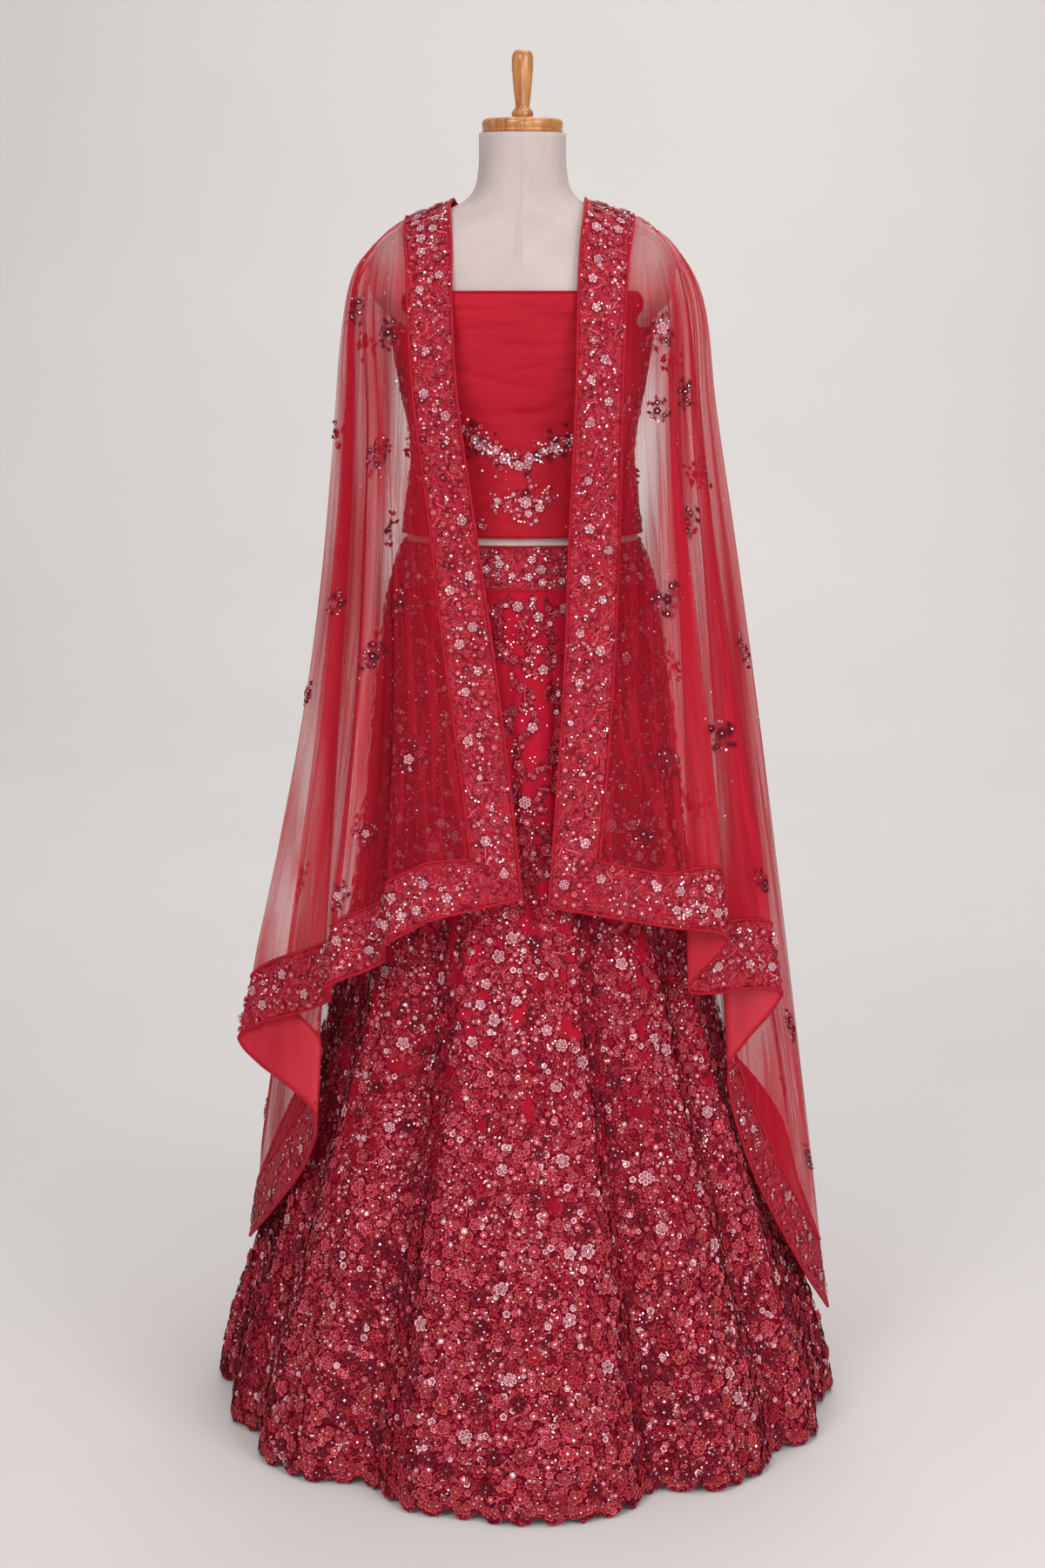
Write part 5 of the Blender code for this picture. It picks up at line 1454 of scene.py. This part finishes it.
# Sprays on the net that show from the front: (x, y) in the photograph's frame of 1200 by 1800, and size
NET_SPRAYS = [
    (760, 372, 1.15), (435, 525, 1.0), (405, 545, 0.9), (445, 605, 0.9), (385, 690, 0.9),
    (765, 695, 1.15), (460, 690, 0.9), (785, 455, 0.9), (805, 540, 0.8), (787, 600, 1.1),
    (850, 750, 0.9), (383, 850, 0.9), (830, 845, 1.15), (470, 870, 1.0), (765, 870, 1.0),
    (345, 1010, 1.15), (385, 1025, 0.9), (880, 1010, 0.8), (755, 470, 0.8), (450, 385, 0.9),
    (740, 960, 0.8), (430, 760, 0.9), (800, 930, 0.9), (350, 800, 0.7), (770, 1090, 0.9),
    (905, 1180, 0.9), (860, 1120, 0.9), (330, 1190, 0.8), (420, 960, 0.8), (925, 1330, 0.8),
]


def pixel_of(points):
    """Places in the photograph's frame, and distances from the camera."""
    shown = np.asarray(points, float) - np.array(CAMERA_AT)
    tip = math.radians(CAMERA_DIP)
    far = shown @ np.array([0, math.cos(tip), -math.sin(tip)])
    up = shown @ np.array([0, math.sin(tip), math.cos(tip)])
    scale = CAMERA_LENS / CAMERA_SENSOR * PHOTO_HIGH
    x, y = PHOTO_WIDE / 2 + shown[..., 0] / far * scale, PHOTO_HIGH / 2 - up / far * scale
    return np.stack([x, y], -1), far


def make_stole():
    ribbon, columns = stole_grids()
    rows, last = len(NET_SHARES), len(columns) - 1
    # Finer places down the net, closer where it is steep
    steps = (3, 3, 4, 5, 7, 9, 9, 9, 9)
    down = [np.linspace(j, j + 1, n, endpoint=False) for j, n in enumerate(steps)]
    down = np.concatenate(down + [[rows - 1.0]])
    nets = []
    cuts = [0, *(1 + line * STEPS_PER_LINE for line in BACK_LINES), last]
    for name, first, stop in zip(("right", "back", "left"), cuts, cuts[1:]):
        across = np.linspace(first, stop, (stop - first) * 6 + 1)
        cloth, dense = gathers(refine(columns[:, :rows], across, down), first, stop - first)
        thing = sheet_object(f"stole_net_{name}_cloth", cloth, LOOK["net"], net_tint(cloth, dense))
        dressed(thing, f"stole_net_{name}")
        nets.append((name, cloth))
    make_border("front_right", ribbon[:rows])
    make_border("neck", ribbon[rows - 1 : len(ribbon) - rows + 1])
    make_border("front_left", ribbon[-rows:])
    ends = [0, *(1 + line * STEPS_PER_LINE for line in CORNER_LINES), last]
    for name, first, stop in zip(("end_right", "hem", "end_left"), ends, ends[1:]):
        make_border(name, columns[first : stop + 1, rows - 1 :])
    return nets


def border_grid(strip):
    """A border's strip made finer along its run by curves, and across by its own straight steps."""
    count = len(strip)
    run = np.linspace(0, count - 1, (count - 1) * 7 + 1)
    fine = refine(strip, run, np.arange(strip.shape[1], dtype=float))
    shares, steps = np.linspace(0, 1, 13), np.array(BORDER_STEPS)
    k = np.clip(np.searchsorted(steps, shares, side="right") - 1, 0, len(steps) - 2)
    t = ((shares - steps[k]) / (steps[k + 1] - steps[k]))[None, :, None]
    return fine[:, k] * (1 - t) + fine[:, k + 1] * t


def make_border(name, strip):
    name = f"stole_border_{name}"
    grid = border_grid(strip)
    run = np.concatenate([[0], np.cumsum(np.linalg.norm(np.diff(grid[:, 6], axis=0), axis=1))])
    share = np.linspace(0, 1, grid.shape[1])
    ripple = 0.0006 * np.sin(run * 190 + 2 * np.sin(run * 37))[:, None] * np.sin(share * math.pi)[None]
    cloth = Cloth(grid).moved(0.0002 + 0.0006 + ripple)
    thing = slab_object(f"{name}_cloth", cloth, 0.0010, LOOK["field"], LOOK["reverse"], -0.0003)
    dressed(thing, name)
    outer = cloth.moved(0.0009)
    for edge, column in (("inner", 0), ("outer", -1)):
        path = outer.points[:, column]
        tube_object(f"{name}_{edge}_piping", path, 0.0019, LOOK["piping"], 8)
    work = Stitches()
    # Two loose rows of bright flowers, and smaller ones between
    count = max(2, int(run[-1] / 0.0195))
    for k in range(count):
        u = (k + 0.5) / count + rng.normal(0, 0.0015)
        v = (0.31, 0.69)[k % 2] + rng.normal(0, 0.045)
        if 0.008 < u < 0.992:
            size = rng.uniform(0.0115, 0.0140)
            sprig(work, cloth, u, min(0.78, max(0.22, v)), size, BORDER_TONES, 2, 4)
    us, vs = scattered(cloth, spaced(0.0090, 0.003, 0.12, 0.88), 360)
    for u, v in zip(us, vs):
        kind = choose(("bud", "leaf", "stem", "sequin"), (4, 4, 3, 2))
        scale = {"bud": 0.0078, "leaf": 0.0068, "stem": 0.012, "sequin": 0.0028}[kind]
        tone = SILVER if kind == "sequin" else choose((CORAL, RED, WINE), (5, 3, 1))
        work.add(kind, u, v, rng.uniform(0, 6), scale * rng.uniform(0.8, 1.2), tone)
        if kind == "bud":
            work.add("sequin", u, v, 0, 0.0020, SILVER)
    work.sew(name, outer, "embroidery", 0.0001, 0.0010)


def net_spray(work, cloth, u, v, scale):
    """A spray sewn on the net: small flowers in a cluster of leaves and beads."""
    turn = rng.uniform(0, 2 * math.pi)
    bright = rng.random() < 0.35
    stamps = []
    for k in range(4):
        way = turn + k * 1.9 + rng.normal(0, 0.2)
        reach = 0.0 if k == 0 else rng.uniform(0.009, 0.015) * scale
        size = (0.0135 if k == 0 else rng.uniform(0.007, 0.010)) * scale
        rosy = bright and k < 2
        tone = choose((CORAL, ROSE, WINE), (1, 3, 0.5)) if rosy else choose((RED, WINE), (2, 3))
        stamps.append(("flower", reach, way, way, size, tone))
        stamps.append(("sequin", reach, way, way, size * 0.28, SILVER))
    for k in range(17):
        way = turn + k * 2 * math.pi / 17 + rng.normal(0, 0.15)
        reach = rng.uniform(0.010, 0.022) * scale
        kind = choose(("leaf", "bead", "sequin"), (8, 2, 2))
        size = {"leaf": 0.0105, "bead": 0.0024, "sequin": 0.0026}[kind] * scale
        tone = choose((WINE, RED), (4, 2)) if kind == "leaf" else choose((GARNET, SILVER), (3, 2))
        stamps.append((kind, reach, way, way + rng.normal(0, 0.4), size, tone))
        if kind == "leaf":
            stamps.append(("stem", reach * 0.6, way, way, 0.009 * scale, WINE))
    work.add_round(cloth, u, v, stamps, 0.006, 0.994, 0.008, 0.988)


def embroider_net(nets):
    eye = np.array(CAMERA_AT)
    wanted = {name: [] for name, _ in nets}
    for x, y, scale in NET_SPRAYS:
        best = None
        for name, cloth in nets:
            places, far = pixel_of(cloth.points)
            off = np.hypot(places[..., 0] - x, places[..., 1] - y)
            facing = (unit(eye - cloth.points) * cloth.normals).sum(-1)
            score = off + np.where(facing > 0.15, 0, 400) + far * 3
            k = np.unravel_index(np.argmin(score), score.shape)
            if best is None or score[k] < best[0]:
                best = (score[k], name, k, score.shape, off[k])
        _, name, (i, j), shape, off = best
        if off < 25:
            wanted[name].append((i / (shape[0] - 1), j / (shape[1] - 1), scale))
    for name, cloth in nets:
        work = Stitches()
        for u, v, scale in wanted[name]:
            net_spray(work, cloth, u, v, scale)
        # More where it turns away from the front
        us, vs = scattered(cloth, spaced(0.135, 0.04, 0.06, 0.95), 40)
        for u, v in zip(us, vs):
            at = np.array([u]), np.array([v])
            facing = cloth.read(cloth.normals, *at)[0] @ unit(eye - cloth.read(cloth.points, *at)[0])
            if facing < 0.2:
                net_spray(work, cloth, float(u), float(v), rng.uniform(0.85, 1.15))
        # Small loose sequins between the sprays
        for _ in range(int(cloth.areas.sum() * 260)):
            u, v = rng.uniform(0.02, 0.98), rng.uniform(0.03, 0.97)
            turn, size = rng.uniform(0, 6), rng.uniform(0.0014, 0.0022)
            work.add("sequin", u, v, turn, size, choose((GARNET, SILVER), (2, 1)))
        work.sew(f"stole_net_{name}", cloth, "net", 0.0004, 0.0008)


# Studio

CAMERA_AT = (0.0, -3.34, 1.42)
CAMERA_DIP = 10.607  # degrees down
CAMERA_LENS, CAMERA_SENSOR = 61.94, 36.0  # millimetres
PHOTO_WIDE, PHOTO_HIGH = 1200, 1800


def make_studio():
    scene = bpy.context.scene
    eye = bpy.data.cameras.new("camera")
    eye.lens, eye.sensor_width, eye.sensor_fit, eye.clip_end = CAMERA_LENS, CAMERA_SENSOR, "AUTO", 60.0
    scene.camera = bpy.data.objects.new("camera", eye)
    scene.collection.objects.link(scene.camera)
    scene.camera.location = CAMERA_AT
    scene.camera.rotation_euler = (math.radians(90 - CAMERA_DIP), 0, 0)

    # A sheet of paper that runs from the floor up the wall in one curve
    back, bend, wide, high = 7.4, 3.0, 9.0, 7.5
    profile = [(-7.0, 0.0), (-3.0, 0.0), (0.0, 0.0), (back - bend, 0.0)]
    for a in np.linspace(0.1, math.pi / 2, 16):
        profile.append((back - bend + bend * math.sin(a), bend - bend * math.cos(a)))
    profile += [(back, bend + 0.6), (back, high)]
    count = len(profile)
    faces = [[i, count + i, count + i + 1, i + 1] for i in range(count - 1)]
    mesh = bpy.data.meshes.new("backdrop")
    mesh.from_pydata([(x, y, z) for x in (-wide, wide) for y, z in profile], [], faces)
    mesh.shade_smooth()
    mesh.materials.append(LOOK["backdrop"])
    paper = bpy.data.objects.new("backdrop", mesh)
    scene.collection.objects.link(paper)
    paper.location.z = -0.0005

    # (name, place, aim, size, power, colour)
    lamps = [
        ("key", (-1.7, -3.2, 3.1), (0, 0, 0.9), 2.0, 58.0, (1.0, 0.985, 0.965)),
        ("fill", (2.6, -3.0, 2.4), (0.2, 0, 0.8), 2.4, 64.0, (1.0, 0.985, 0.97)),
        ("low", (0.4, -4.4, 0.8), (0, 0, 0.5), 2.0, 38.0, (1.0, 0.985, 0.97)),
        ("over", (0.3, 0.1, 3.6), (0, 0.0, 0), 2.6, 32.0, (1.0, 0.99, 0.98)),
        ("wall", (0.5, 3.8, 5.6), (0.3, 7.2, 0.8), 3.4, 141.0, (1.0, 0.985, 0.97)),
        ("far", (0.3, 3.6, 4.2), (0.3, 3.8, 0), 3.0, 19.0, (1.0, 0.985, 0.97)),
    ]
    for name, at, aim, size, power, colour in lamps:
        lamp = bpy.data.lights.new(name, "AREA")
        lamp.size, lamp.energy, lamp.color, lamp.shape = size, power, colour, "DISK"
        thing = bpy.data.objects.new(name, lamp)
        scene.collection.objects.link(thing)
        thing.location = at
        thing.visible_camera = False
        thing.rotation_euler = (Vector(aim) - Vector(at)).to_track_quat("-Z", "Y").to_euler()

    world = bpy.data.worlds.new("studio")
    world.use_nodes = True
    sky = world.node_tree.nodes["Background"]
    sky.inputs["Color"].default_value = (0.98, 0.98, 1.0, 1)
    sky.inputs["Strength"].default_value = 0.32
    scene.world = world
    scene.view_settings.view_transform = "Standard"


make_studio()
make_form()
embroider_blouse(make_blouse())
make_waistband()
make_skirt()
make_lining()
embroider_net(make_stole())
